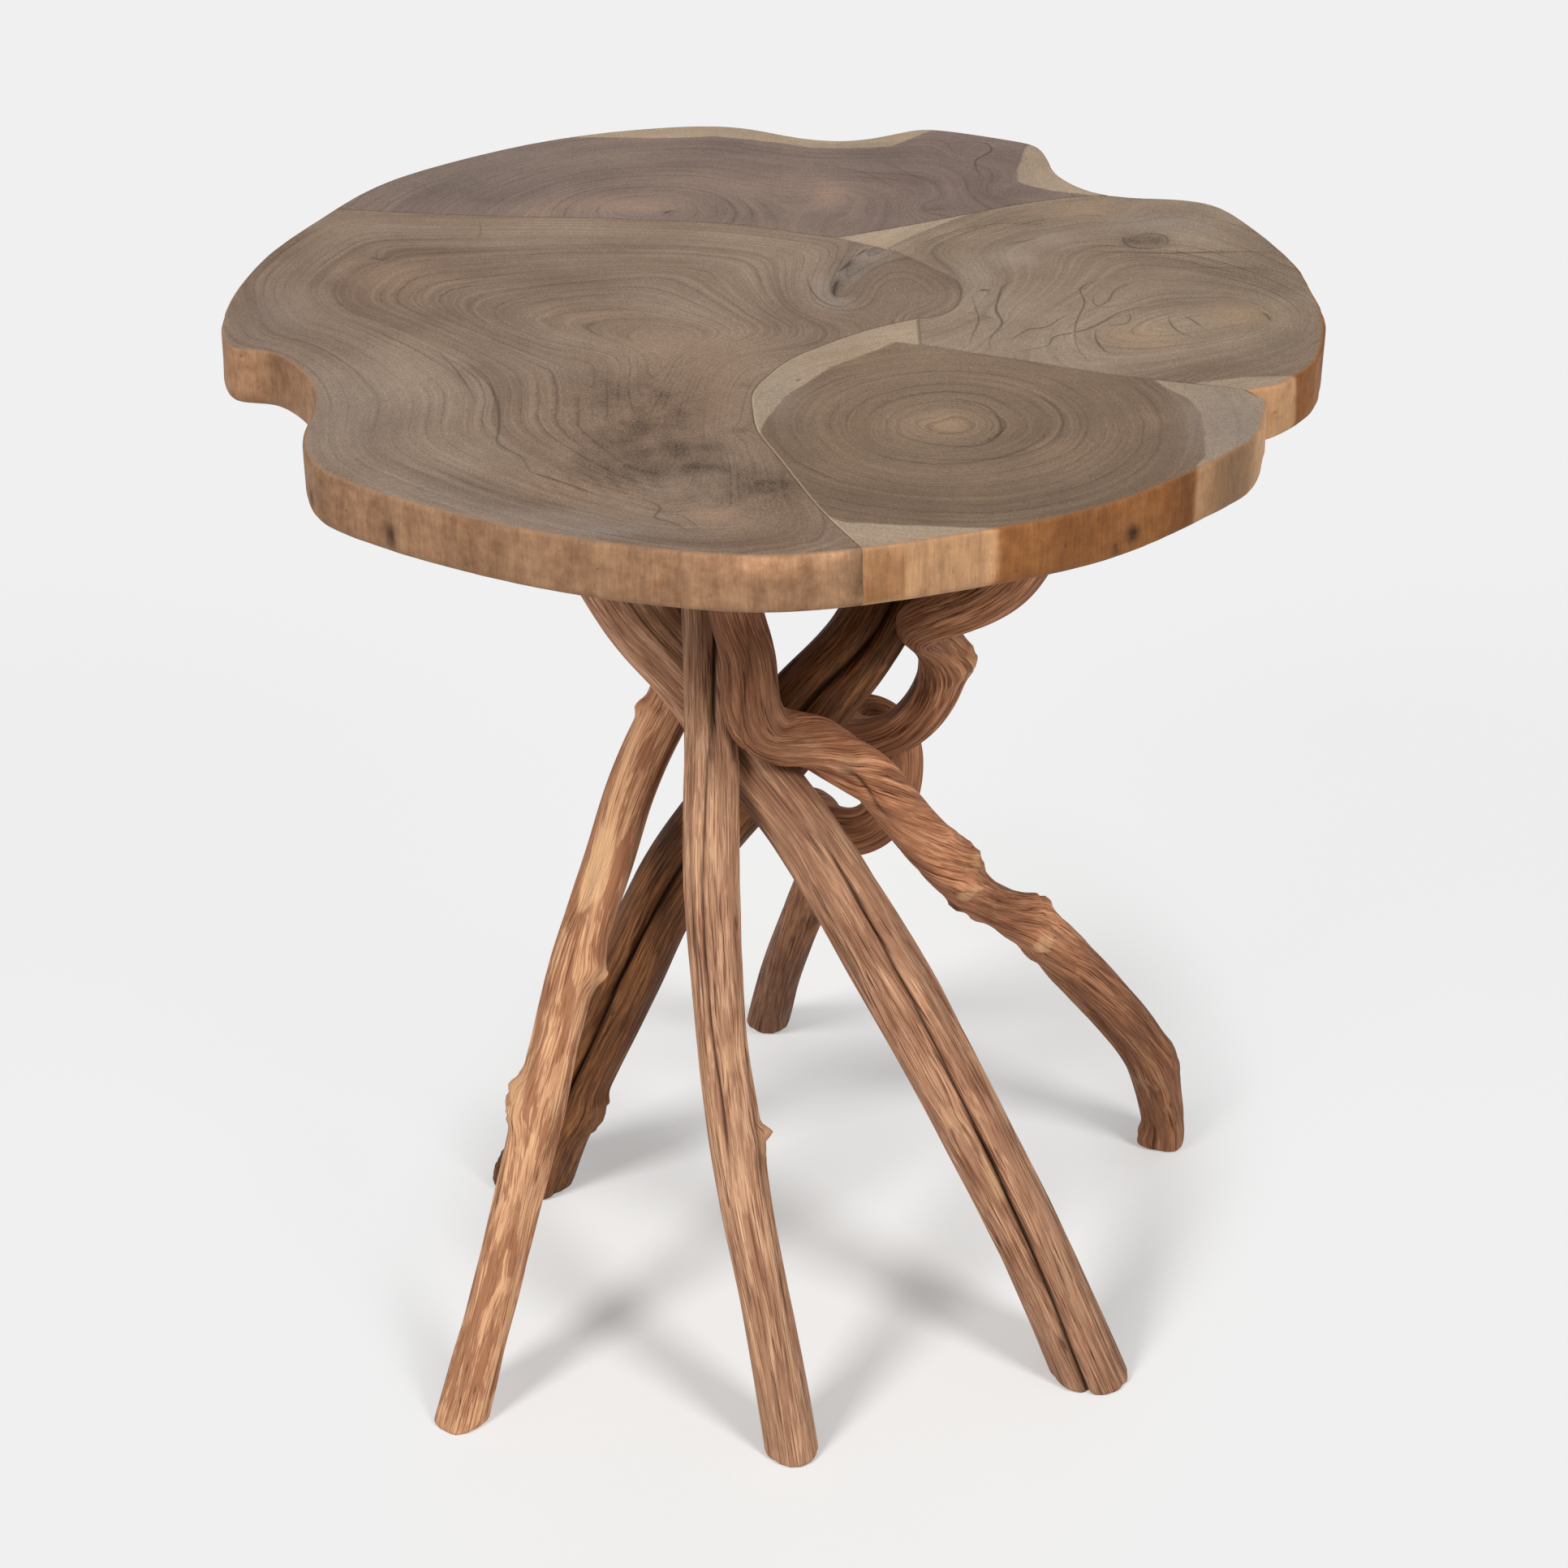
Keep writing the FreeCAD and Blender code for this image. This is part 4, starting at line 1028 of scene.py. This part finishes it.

# Details of each branch. Grooves: (distance from the foot, angle) points, depth, half width, darkness.
# The groove darkness is partly the split's own dark brown and partly painted shade in the crease.
# Knots: distance from the foot, angle, height, half length, half width, paleness, darkness.
# Rows with no height are not knots: their darkness is painted shade over a stretch of the branch.
# Angles are in degrees around the branch: 0 faces the viewer, 90 is to the right.
DETAILS = {
    "leg_front_left": {
        "lobes": [(5, 0.035, 40), (3, 0.02, 10)],
        "twist": [(0, 0), (590, 25)],
        "grooves": [([(120, 62), (300, 58), (420, 60)], 1.2, 9, 0.3)],
        "knots": [
            (163, -95, 5.0, 6, 6, 0.4, 0), (152, -82, 4.2, 5, 6, 0.45, 0), (160, -72, 1.0, 16, 7, 0.5, 0),
            (226, 64, 3.2, 6, 6, 0.55, 0), (231, 84, 2.4, 9, 7, 0.2, 0), (70, 18, 1.8, 5, 4, 0.45, 0),
            (355, -86, 4.2, 3.5, 3.5, 0.35, 0), (276, -28, -1.0, 25, 8, 1.0, 0),
            (262, -32, -0.4, 12, 5, 0.9, 0), (205, 32, 0.8, 16, 6, 0.15, 0),
            (112, 10, 0.6, 14, 6, 0.2, 0)],
    },
    "leg_front_right": {
        "lobes": [(4, 0.02, 70), (7, 0.012, 15)],
        "twist": [(0, 0), (600, 30)],
        "grooves": [
            ([(-20, -8), (60, 2), (117, 11), (160, 17), (212, 24), (279, 33), (330, 40)], 4.4, 6, 0.95),
            ([(-20, -8), (60, 2), (117, 11), (165, 17)], 2.4, 9, 0.9),
            ([(0, 60), (300, 70)], 0.8, 7, 0.25), ([(60, -50), (260, -40)], 0.7, 7, 0.2),
            ([(395, 20), (600, 10)], 2.2, 8, 0.55)],
        "knots": [
            (158, -13, 1.0, 7, 5, 0.4, 0), (122, 2, 1.2, 14, 3, 0.6, 0), (250, -5, 0.6, 20, 9, 0.0, 0.1),
            (330, 20, 0, 60, 50, 0, 0.2), (15, 0, 0, 80, 60, 0, 0.22)],
    },
    "leg_front": {
        "lobes": [(4, 0.025, 20), (6, 0.015, 5)],
        "twist": [(0, 0), (530, -20)],
        "grooves": [
            ([(320, 2), (357, 14), (392, 30), (520, 34)], 5.4, 13, 1.0),
            ([(130, -20), (158, -13), (173, -14), (256, -20), (299, -11), (334, -5),
              (375, 20)], 2.8, 7, 0.8),
            ([(150, 40), (260, 30), (340, -40)], 0.9, 7, 0.25),
            ([(40, -34), (88, -30), (150, -22)], 1.0, 6, 0.45),
            ([(190, -40), (234, -42), (360, -48)], 1.0, 6, 0.45),
            ([(30, 54), (109, 60), (159, 62), (208, 80), (245, 77)], 1.4, 8, 0.5)],
        "knots": [
            (157, 82, 4.4, 3, 3, 0.35, 0), (152, 80, 1.6, 8, 5, 0.3, 0), (196, 20, 0.7, 9, 5, 0.3, 0),
            (420, 0, 0, 70, 40, 0, 0.14), (20, 10, 0, 60, 50, 0, 0.12)],
    },
    "leg_rear_left": {
        "lobes": [(3, 0.03, 0), (5, 0.015, 30)],
        "twist": [(0, 0), (560, 20)],
        "grooves": [
            ([(38, -2), (57, -8), (155, -20), (230, -16), (351, -24), (395, -10), (560, 0)], 8.0, 8, 1.0),
            ([(340, -2), (400, 12), (470, 16)], 1.6, 6, 0.6), ([(0, 40), (60, 36)], 1.4, 8, 0.4)],
        "knots": [
            (67, 62, 4.2, 7, 8, 0.1, 0), (55, 66, 3.6, 6, 8, 0.1, 0), (4, -84, 2.6, 9, 10, 0.0, 0.1),
            (330, 40, 1.0, 20, 10, 0, 0.1)],
    },
    "vine_leg_right": {
        "lobes": [(3, 0.075, 0), (5, 0.03, 40)],
        "twist": [(0, 0), (150, 80), (240, 210), (420, 520), (590, 640)],
        "grooves": [
            ([(318, -22), (341, -13), (367, 16), (398, 26)], 2.6, 9, 0.75),
            ([(390, -80), (440, -20), (510, 55)], 1.8, 8, 0.55),
            ([(400, 0), (450, 55), (520, 120)], 1.6, 8, 0.5),
            ([(76, -36), (96, -33), (137, -27), (160, -24)], 1.8, 7, 0.75),
            ([(70, 98), (93, 96), (158, 88), (176, 86)], 1.6, 6, 0.7)],
        "knots": [
            (70, 0, 0, 100, 60, 0, 0.52), (440, 0, 0, 60, 60, 0, 0.4), (223, 45, 0, 22, 30, 0, 0.3),
            (258, 50, 3.2, 14, 11, 0.1, 0), (255, 16, 4.4, 5, 5, 0.7, 0), (262, 72, 2.4, 4, 4, 0.5, 0),
            (258, 112, 3.6, 9, 8, 0.1, 0), (192, 60, 3.0, 13, 11, 0.1, 0), (188, 19, 4.8, 6, 6, 0.7, 0),
            (196, 98, 2.4, 9, 8, 0.1, 0), (241, -60, 2.4, 4, 4, 0, 0.7), (216, -56, -2.0, 8, 5, 0, 0.75),
            (224, -78, 2.4, 5, 5, 0, 0.3), (178, -52, 2.0, 7, 6, 0, 0.1), (57, -26, 1.2, 5, 5, 0.35, 0),
            (52, 10, 1.0, 4, 4, 0.25, 0), (7, -80, 3.4, 7, 7, 0.05, 0), (57, 90, 1.8, 12, 9, 0.1, 0),
            (376, 24, 2.8, 6, 6, 0.3, 0.35), (400, 20, 1.6, 18, 10, 0.1, 0),
            (430, -30, 2.0, 20, 12, 0.05, 0)],
    },
    "vine_leg_rear": {
        "lobes": [(4, 0.035, 10), (6, 0.02, 30)],
        "twist": [(0, 0), (240, 60), (500, 160), (740, 240)],
        "grooves": [
            ([(260, 60), (420, 80), (560, 100)], 1.2, 9, 0.4), ([(300, -80), (480, -60)], 1.0, 8, 0.35)],
        "knots": [
            (509, 115, 4.2, 5, 5, 0.3, 0.1), (502, 98, 3.2, 5, 5, 0.25, 0), (60, 0, 0, 110, 90, 0, 0.48)],
    },
}


# Fine strands along every branch: how many, share of the radius, and phase
STRANDS = [(9, 0.016, 0), (14, 0.012, 20)]
# Relief of every branch: height, width around it and length along it
RELIEF = [(0.5, 9, 55), (0.32, 3.2, 45)]


class Branch:
    """One branch: its centreline and the surface around it as functions of distance and angle."""

    def __init__(self, name):
        diameter, rows = BRANCHES[name]
        rows = np.array(rows, float)
        points = rows[:, :3] * np.array([1, 1, UNDERSIDE / rows[-1, 2]])
        first = points[0] - points[1]
        last = points[-1] - points[-2]
        first = points[0] + first / np.linalg.norm(first) * END_STOCK
        last = points[-1] + last / np.linalg.norm(last) * END_STOCK
        points = np.vstack([first, points, last])
        swell = np.concatenate([rows[:1, 3], rows[:, 3], rows[-1:, 3]])
        knots, at = smooth_curve(points)
        values = np.linspace(knots[0], knots[-1], 3000)
        self.name = name
        self.line = at(values)
        run = run_of(self.line)
        self.run = run - np.interp(knots[1], values, run)
        self.length = np.interp(knots[-2], values, self.run)
        self.size = diameter / 2 * np.interp(values, knots, swell)
        along = np.gradient(self.line, axis=0)
        self.along = along / np.linalg.norm(along, axis=1)[:, None]
        across = np.array([0.0, -1.0, 0.0])
        self.across = np.zeros(self.line.shape)
        for i, direction in enumerate(self.along):
            across = across - direction * (across @ direction)
            across = across / np.linalg.norm(across)
            self.across[i] = across
        self.over = np.cross(self.along, self.across)
        self.detail = DETAILS[name]
        self.seed = 100 + 7 * list(BRANCHES).index(name)

    def look_up(self, table, s):
        if table.ndim == 1:
            return np.interp(s, self.run, table)
        return np.stack([np.interp(s, self.run, table[:, k]) for k in range(3)], axis=-1)

    def surface(self, s, angle):
        """Points at distances and angles, and the fields that the material reads."""
        base = self.look_up(self.size, s)
        detail = self.detail
        twist = np.radians(np.interp(s, *np.array(detail["twist"], float).T))
        turned = angle + twist
        reach = np.ones(s.shape)
        for number, amount, phase in detail["lobes"] + STRANDS:
            drift = 0.7 * noise(s / 110, number, 0.3, self.seed)
            change = 0.75 + 0.25 * noise(s / 80, number, 3.3, self.seed)
            reach += amount * change * np.cos(number * (turned - math.radians(phase) + drift))
        reach = base * reach
        cx = base * np.cos(turned)
        cy = base * np.sin(turned)
        for number, (height, width, length) in enumerate(RELIEF, 1):
            reach += height * noise(cx / width, cy / width, s / length, self.seed + number)
        groove = np.zeros(s.shape)
        pale = np.zeros(s.shape)
        for path, depth, half, darkness in detail["grooves"]:
            path = np.array(path, float)
            wander = GROOVE_WANDER * noise(s / 26, 0.5, depth, self.seed + 3)
            centre = np.interp(s, path[:, 0], path[:, 1]) + wander
            fade_in = np.clip((s - path[0, 0]) / GROOVE_FADE, 0, 1)
            fade_out = np.clip((path[-1, 0] - s) / GROOVE_FADE, 0, 1)
            within = fade_in * fade_out
            if path[0, 0] <= 0:
                within = fade_out
            if path[-1, 0] >= self.length - GROOVE_HEAD:
                within = fade_in
            strength = within * (0.8 + 0.2 * noise(s / 30, 1.5, depth, self.seed + 4))
            away = np.remainder(np.degrees(angle) - centre + 180, 360) - 180
            cut = np.exp(-np.abs(away / half) ** 1.6)
            reach -= depth * strength * cut
            dark = darkness * np.clip(strength * 1.3, 0, 1)
            # Painted shade in the groove, partly the split's own dark brown
            groove = np.maximum(groove, dark * np.exp(-(away / (0.52 * half)) ** 4))
        for place, side, height, half_length, half_width, paleness, darkness in detail["knots"]:
            away = np.radians(np.remainder(np.degrees(angle) - side + 180, 360) - 180)
            spot = ((s - place) / half_length) ** 2 + (base * away / half_width) ** 2
            ragged = spot * (1 + 0.5 * noise(cx / 3, cy / 3, s / 14, self.seed + 6))
            rise = np.exp(-spot) - 0.35 * np.exp(-5 * spot)
            reach += height * rise * (1 + 0.5 * noise(cx / 2.4, cy / 2.4, s / 3, self.seed + 5))
            pale = np.maximum(pale, paleness * np.clip(3.6 * np.exp(-1.3 * ragged ** 1.5) - 1.1, 0, 1))
            # Dark knots, and painted shade where a row has no height
            groove = np.maximum(groove, darkness * np.exp(-spot ** 1.5))
            turned = turned + 0.55 * away * np.exp(-spot / 1.6)
        direction = self.look_up(self.across, s) * np.cos(angle)[..., None]
        direction = direction + self.look_up(self.over, s) * np.sin(angle)[..., None]
        points = self.look_up(self.line, s) + direction * reach[..., None]
        fibre = np.stack([base * np.cos(turned), base * np.sin(turned), s], axis=-1) * MM
        return points, {"fibre": fibre, "groove": groove, "pale": pale}

    def cut_at(self, height, angles, near_foot):
        """Distance at which each line along the surface meets a level."""
        span = self.run[self.run < CUT_SPAN if near_foot else self.run > self.length - CUT_SPAN]
        s, angle = np.meshgrid(span[::4], angles, indexing="ij")
        z = self.surface(s, angle)[0][..., 2] - height
        places = []
        for k in range(len(angles)):
            below = np.flatnonzero(z[:, k] < 0)
            i = min(max(below[-1], 0), len(z) - 2)
            part = -z[i, k] / (z[i + 1, k] - z[i, k])
            places.append(s[i, k] + part * (s[i + 1, k] - s[i, k]))
        return np.array(places)


branches = {name: Branch(name) for name in BRANCHES}


def nearest(first, second):
    """Flat between two crossing branches: a point on it and its direction from the first to the second."""
    a = first.line[::3]
    b = second.line[::3]
    gaps = np.linalg.norm(a[:, None] - b[None], axis=2)
    i, j = np.unravel_index(gaps.argmin(), gaps.shape)
    axis = (b[j] - a[i]) / gaps[i, j]
    share = first.size[::3][i] / (first.size[::3][i] + second.size[::3][j])
    return a[i] + axis * gaps[i, j] * share, axis


CROSSINGS = [
    ("leg_front_left", "leg_front_right"), ("leg_front_right", "leg_front"),
    ("leg_rear_left", "leg_front_right"), ("leg_front", "vine_leg_right"),
    ("leg_rear_left", "vine_leg_rear"), ("leg_front_right", "vine_leg_right"),
]
flats = {name: [] for name in BRANCHES}
for first, second in CROSSINGS:
    centre, axis = nearest(branches[first], branches[second])
    flats[first].append((centre, axis))
    flats[second].append((centre, -axis))


def ring_faces(rows, count):
    """Faces between rings of points that follow each other."""
    faces = []
    for outer, inner in zip(rows, rows[1:]):
        for k in range(count):
            n = (k + 1) % count
            faces.append((outer * count + k, outer * count + n, inner * count + n, inner * count + k))
    return faces


def branch_piece(name, material, slot):
    """Branch mesh, sawn flat at both ends and planed where it bears on another branch."""
    branch = branches[name]
    count = POINTS_AROUND
    angles = np.linspace(0, 2 * math.pi, count, endpoint=False)
    foot = branch.cut_at(0.0, angles, True)
    head = branch.cut_at(UNDERSIDE + TOP_BITE, angles, False)
    rows = round((branch.length - 2 * FIRST_ROW) / ROW_SPACING)
    marks = np.linspace(FIRST_ROW, branch.length - LAST_ROW, rows)
    marks = np.concatenate([FOOT_ROWS, marks, [branch.length]])
    part = marks[:, None] / branch.length
    foot_pull = np.clip(1 - part * branch.length / END_PULL, 0, 1) ** 2
    head_pull = np.clip(1 - (1 - part) * branch.length / END_PULL, 0, 1) ** 2
    s = marks[:, None] + foot * foot_pull + (head - branch.length) * head_pull
    points, fields = branch.surface(s, np.broadcast_to(angles, s.shape))
    inward = branch.look_up(branch.line, s) - points
    inward[..., 2] = 0
    inward = inward / np.maximum(np.linalg.norm(inward, axis=2), 1e-6)[..., None]
    ease = np.clip(1 - points[..., 2] / FOOT_ROUND, 0, 1) ** 2
    points = points + inward * (ease * FOOT_ROUND * FOOT_EASE)[..., None]
    points[0, :, 2] = 0.0
    points[-1, :, 2] = UNDERSIDE + TOP_BITE
    for flat, axis in flats[name]:
        away = points - flat
        over = away @ axis
        near = np.linalg.norm(away - over[..., None] * axis, axis=2) < LAP_LENGTH / 2
        points = points - (np.where(near & (over > 0), over, 0)[..., None] * axis)
    total = len(marks)
    depth = len(END_SHARES)
    extra = 2 * depth * count
    ends = []
    for ring in (points[0], points[-1]):
        middle = ring.mean(0)
        ends += [middle + (ring - middle) * share for share in END_SHARES]
    attributes = {}
    for key, values in fields.items():
        values = values.reshape(total * count, *values.shape[2:])
        attributes[key] = np.concatenate([values, np.zeros((extra, *values.shape[1:]))])
    attributes["end"] = np.concatenate([np.zeros(total * count), np.ones(extra)])
    radial = [np.full(count, share * END_RADIUS) for share in END_SHARES] * 2
    attributes["radial"] = np.concatenate([np.full(total * count, END_RADIUS)] + radial)
    faces = ring_faces(range(total), count)
    for rim, first, turn in ((0, total, -1), (total - 1, total + depth, 1)):
        chain = [rim, *range(first, first + depth)]
        middle = tuple(chain[-1] * count + k for k in range(count))
        faces += [face[::turn] for face in ring_faces(chain, count) + [middle]]
    points = np.vstack([points.reshape(-1, 3)] + ends)
    make_piece(name, points, faces, attributes, name, slot, material, BRANCH_SHARP)


# Dark, middle and light wood of each branch, and how much bark is left on it
BRANCH_LOOKS = {
    "leg_front_left": ("branch_front_left", (138, 86, 58), (198, 149, 112), (219, 172, 131), 0.75),
    "leg_front_right": ("branch_front_right", (118, 75, 53), (180, 133, 103), (207, 163, 129), 0.5),
    "leg_front": ("branch_front", (122, 79, 56), (186, 141, 110), (211, 169, 134), 0.5),
    # The rear left branch's colours are darkened as painted shade, on top of its dark wood
    "leg_rear_left": ("branch_rear_left", (68, 37, 17), (113, 71, 41), (146, 100, 64), 0.45),
    "vine_leg_right": ("branch_vine_right", (116, 66, 41), (194, 132, 95), (222, 163, 122), 0.5),
    "vine_leg_rear": ("branch_vine_rear", (102, 59, 36), (164, 111, 78), (196, 145, 108), 0.45),
}
for node, (slot, *shades, bark_cover) in BRANCH_LOOKS.items():
    branch_piece(node, branch_material(slot, *colours(shades), bark_cover), slot)


# Dowels and screws keep their CAD shapes

def dowel_material():
    """Turned beech-like dowel with fine flecks along it."""
    s = Shader("dowel_wood")
    fleck = s.noise(s.place(), 700.0, 3.0, stretch=(1.0, 0.2, 1.0))
    tone = s.ramp(fleck, (0.35, 0.65), colours([(164, 124, 84), (208, 172, 126)]))
    return s.finish(tone, s.spread(fleck, *NOISE_SPAN, 0.5, 0.65), fleck, 0.0003, 0.5)


def screw_material():
    """Dull steel with fine turning marks."""
    s = Shader("screw_steel")
    marks = s.noise(s.place(), 1800.0, 2.0)
    tone = s.ramp(marks, NOISE_SPAN, colours([(120, 118, 114), (176, 174, 170)]))
    s.surface.inputs["Metallic"].default_value = 1.0
    return s.finish(tone, s.spread(marks, *NOISE_SPAN, 0.3, 0.5), marks, 0.0001, 0.4)


hidden_looks = {"dowel": dowel_material(), "screw": screw_material()}
for node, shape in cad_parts.items():
    look = hidden_looks.get(node.split("_")[0])
    if look and shape.material_slots:
        for place in shape.material_slots:
            place.material = look
    elif look:
        shape.data.materials.append(look)


# Stage: pale floor, soft light and the photograph's viewpoint

PALE_BACKDROP = colour(240, 240, 240)
PALE_FLOOR = colours([(236, 236, 235), (239, 239, 238)])
# Oval around the feet in metres, and the multiples of it between which the floor turns into the backdrop
FEET_CENTRE = (0.033, 0.02, 0.0)
FEET_TURN = math.radians(-10.8)
FEET_REACH = (0.15, 0.30, 1.0)
SHADOW_REACH = 0.95
BACKDROP_START = 1.6
# How plain the floor is at the front and the back of the shadow, their places, and how plain further out
SHADOW_LIFT = (0.18, 0.34)
SHADOW_SPAN = (0.0, 0.24)
BACKDROP_LIFT = 0.94


def floor_material():
    """Pale floor with the table's shadow on it, which fades into a plain pale backdrop further out."""
    s = Shader("studio_floor")
    place = s.place()
    cloud = s.noise(place, 3.0, 2.0)
    s.finish(s.ramp(cloud, NOISE_SPAN, PALE_FLOOR), 0.9, cloud, 0.0001, 0.1, 0.1)
    oval = {"Vector": place, "Location": FEET_CENTRE, "Rotation": (0, 0, FEET_TURN), "Scale": FEET_REACH}
    around = s.node("ShaderNodeMapping", oval, vector_type="TEXTURE").outputs["Vector"]
    away = s.node("ShaderNodeVectorMath", {0: around}, operation="LENGTH").outputs["Value"]
    behind = s.node("ShaderNodeSeparateXYZ", {0: place}).outputs["Y"]
    near_lift = s.spread(behind, *SHADOW_SPAN, *SHADOW_LIFT)
    rays = s.node("ShaderNodeLightPath").outputs
    seen = s.math("MAXIMUM", rays["Is Glossy Ray"], rays["Is Transmission Ray"])
    seen = s.math("MAXIMUM", rays["Is Camera Ray"], seen)
    lift = s.times(seen, s.spread(away, SHADOW_REACH, BACKDROP_START, near_lift, BACKDROP_LIFT))
    glow = s.node("ShaderNodeEmission", {"Color": PALE_BACKDROP, "Strength": 1.0}).outputs[0]
    both = s.node("ShaderNodeMixShader", {0: lift, 1: s.surface.outputs[0], 2: glow}).outputs[0]
    s.put(both, s.tree.nodes["Material Output"].inputs["Surface"])
    return s.material


FLOOR_HALF = 12.0
floor_mesh = bpy.data.meshes.new("studio_floor")
corners = [(x * FLOOR_HALF, y * FLOOR_HALF, 0) for x, y in ((-1, -1), (1, -1), (1, 1), (-1, 1))]
floor_mesh.from_pydata(corners, [], [(0, 1, 2, 3)])
floor_mesh.materials.append(floor_material())
floor = bpy.data.objects.new("studio_floor", floor_mesh)
bpy.context.scene.collection.objects.link(floor)

CAMERA_PLACE = (5.3, -1600.0, 1165.0)
CAMERA_PITCH = 29.34
CAMERA_LENS = 86.68
CAMERA_SENSOR = 36.0
camera_data = bpy.data.cameras.new("photo_camera")
camera_data.lens = CAMERA_LENS
camera_data.sensor_width = CAMERA_SENSOR
camera = bpy.data.objects.new("photo_camera", camera_data)
camera.location = placed([CAMERA_PLACE])[0]
camera.rotation_euler = (math.radians(90 - CAMERA_PITCH), 0, 0)
bpy.context.scene.collection.objects.link(camera)
bpy.context.scene.camera = camera

WORLD_LEVEL = 0.32
world = bpy.data.worlds.new("studio")
world.use_nodes = True
world_nodes = world.node_tree.nodes
soft_light = world_nodes["Background"]
soft_light.inputs["Color"].default_value = (1.0, 1.0, 1.0, 1.0)
soft_light.inputs["Strength"].default_value = WORLD_LEVEL
backdrop = world_nodes.new("ShaderNodeBackground")
backdrop.inputs["Color"].default_value = PALE_BACKDROP
backdrop.inputs["Strength"].default_value = 1.0
world_rays = world_nodes.new("ShaderNodeLightPath")
world_mix = world_nodes.new("ShaderNodeMixShader")
join = world.node_tree.links.new
join(world_rays.outputs["Is Camera Ray"], world_mix.inputs[0])
join(soft_light.outputs[0], world_mix.inputs[1])
join(backdrop.outputs[0], world_mix.inputs[2])
join(world_mix.outputs[0], world_nodes["World Output"].inputs["Surface"])
bpy.context.scene.world = world

# Soft lamps: name, strength, softness in degrees, tilt towards the viewer and turn to the right
LAMPS = [("left_softbox", 2.0, 17.0, 52.0, -45.0), ("right_softbox", 1.75, 17.0, 52.0, 45.0)]
for name, strength, softness, tilt, turn in LAMPS:
    lamp_data = bpy.data.lights.new(name, "SUN")
    lamp_data.energy = strength
    lamp_data.angle = math.radians(softness)
    lamp = bpy.data.objects.new(name, lamp_data)
    lamp.rotation_euler = (math.radians(tilt), 0, math.radians(turn))
    bpy.context.scene.collection.objects.link(lamp)

bpy.context.scene.view_settings.view_transform = "Standard"
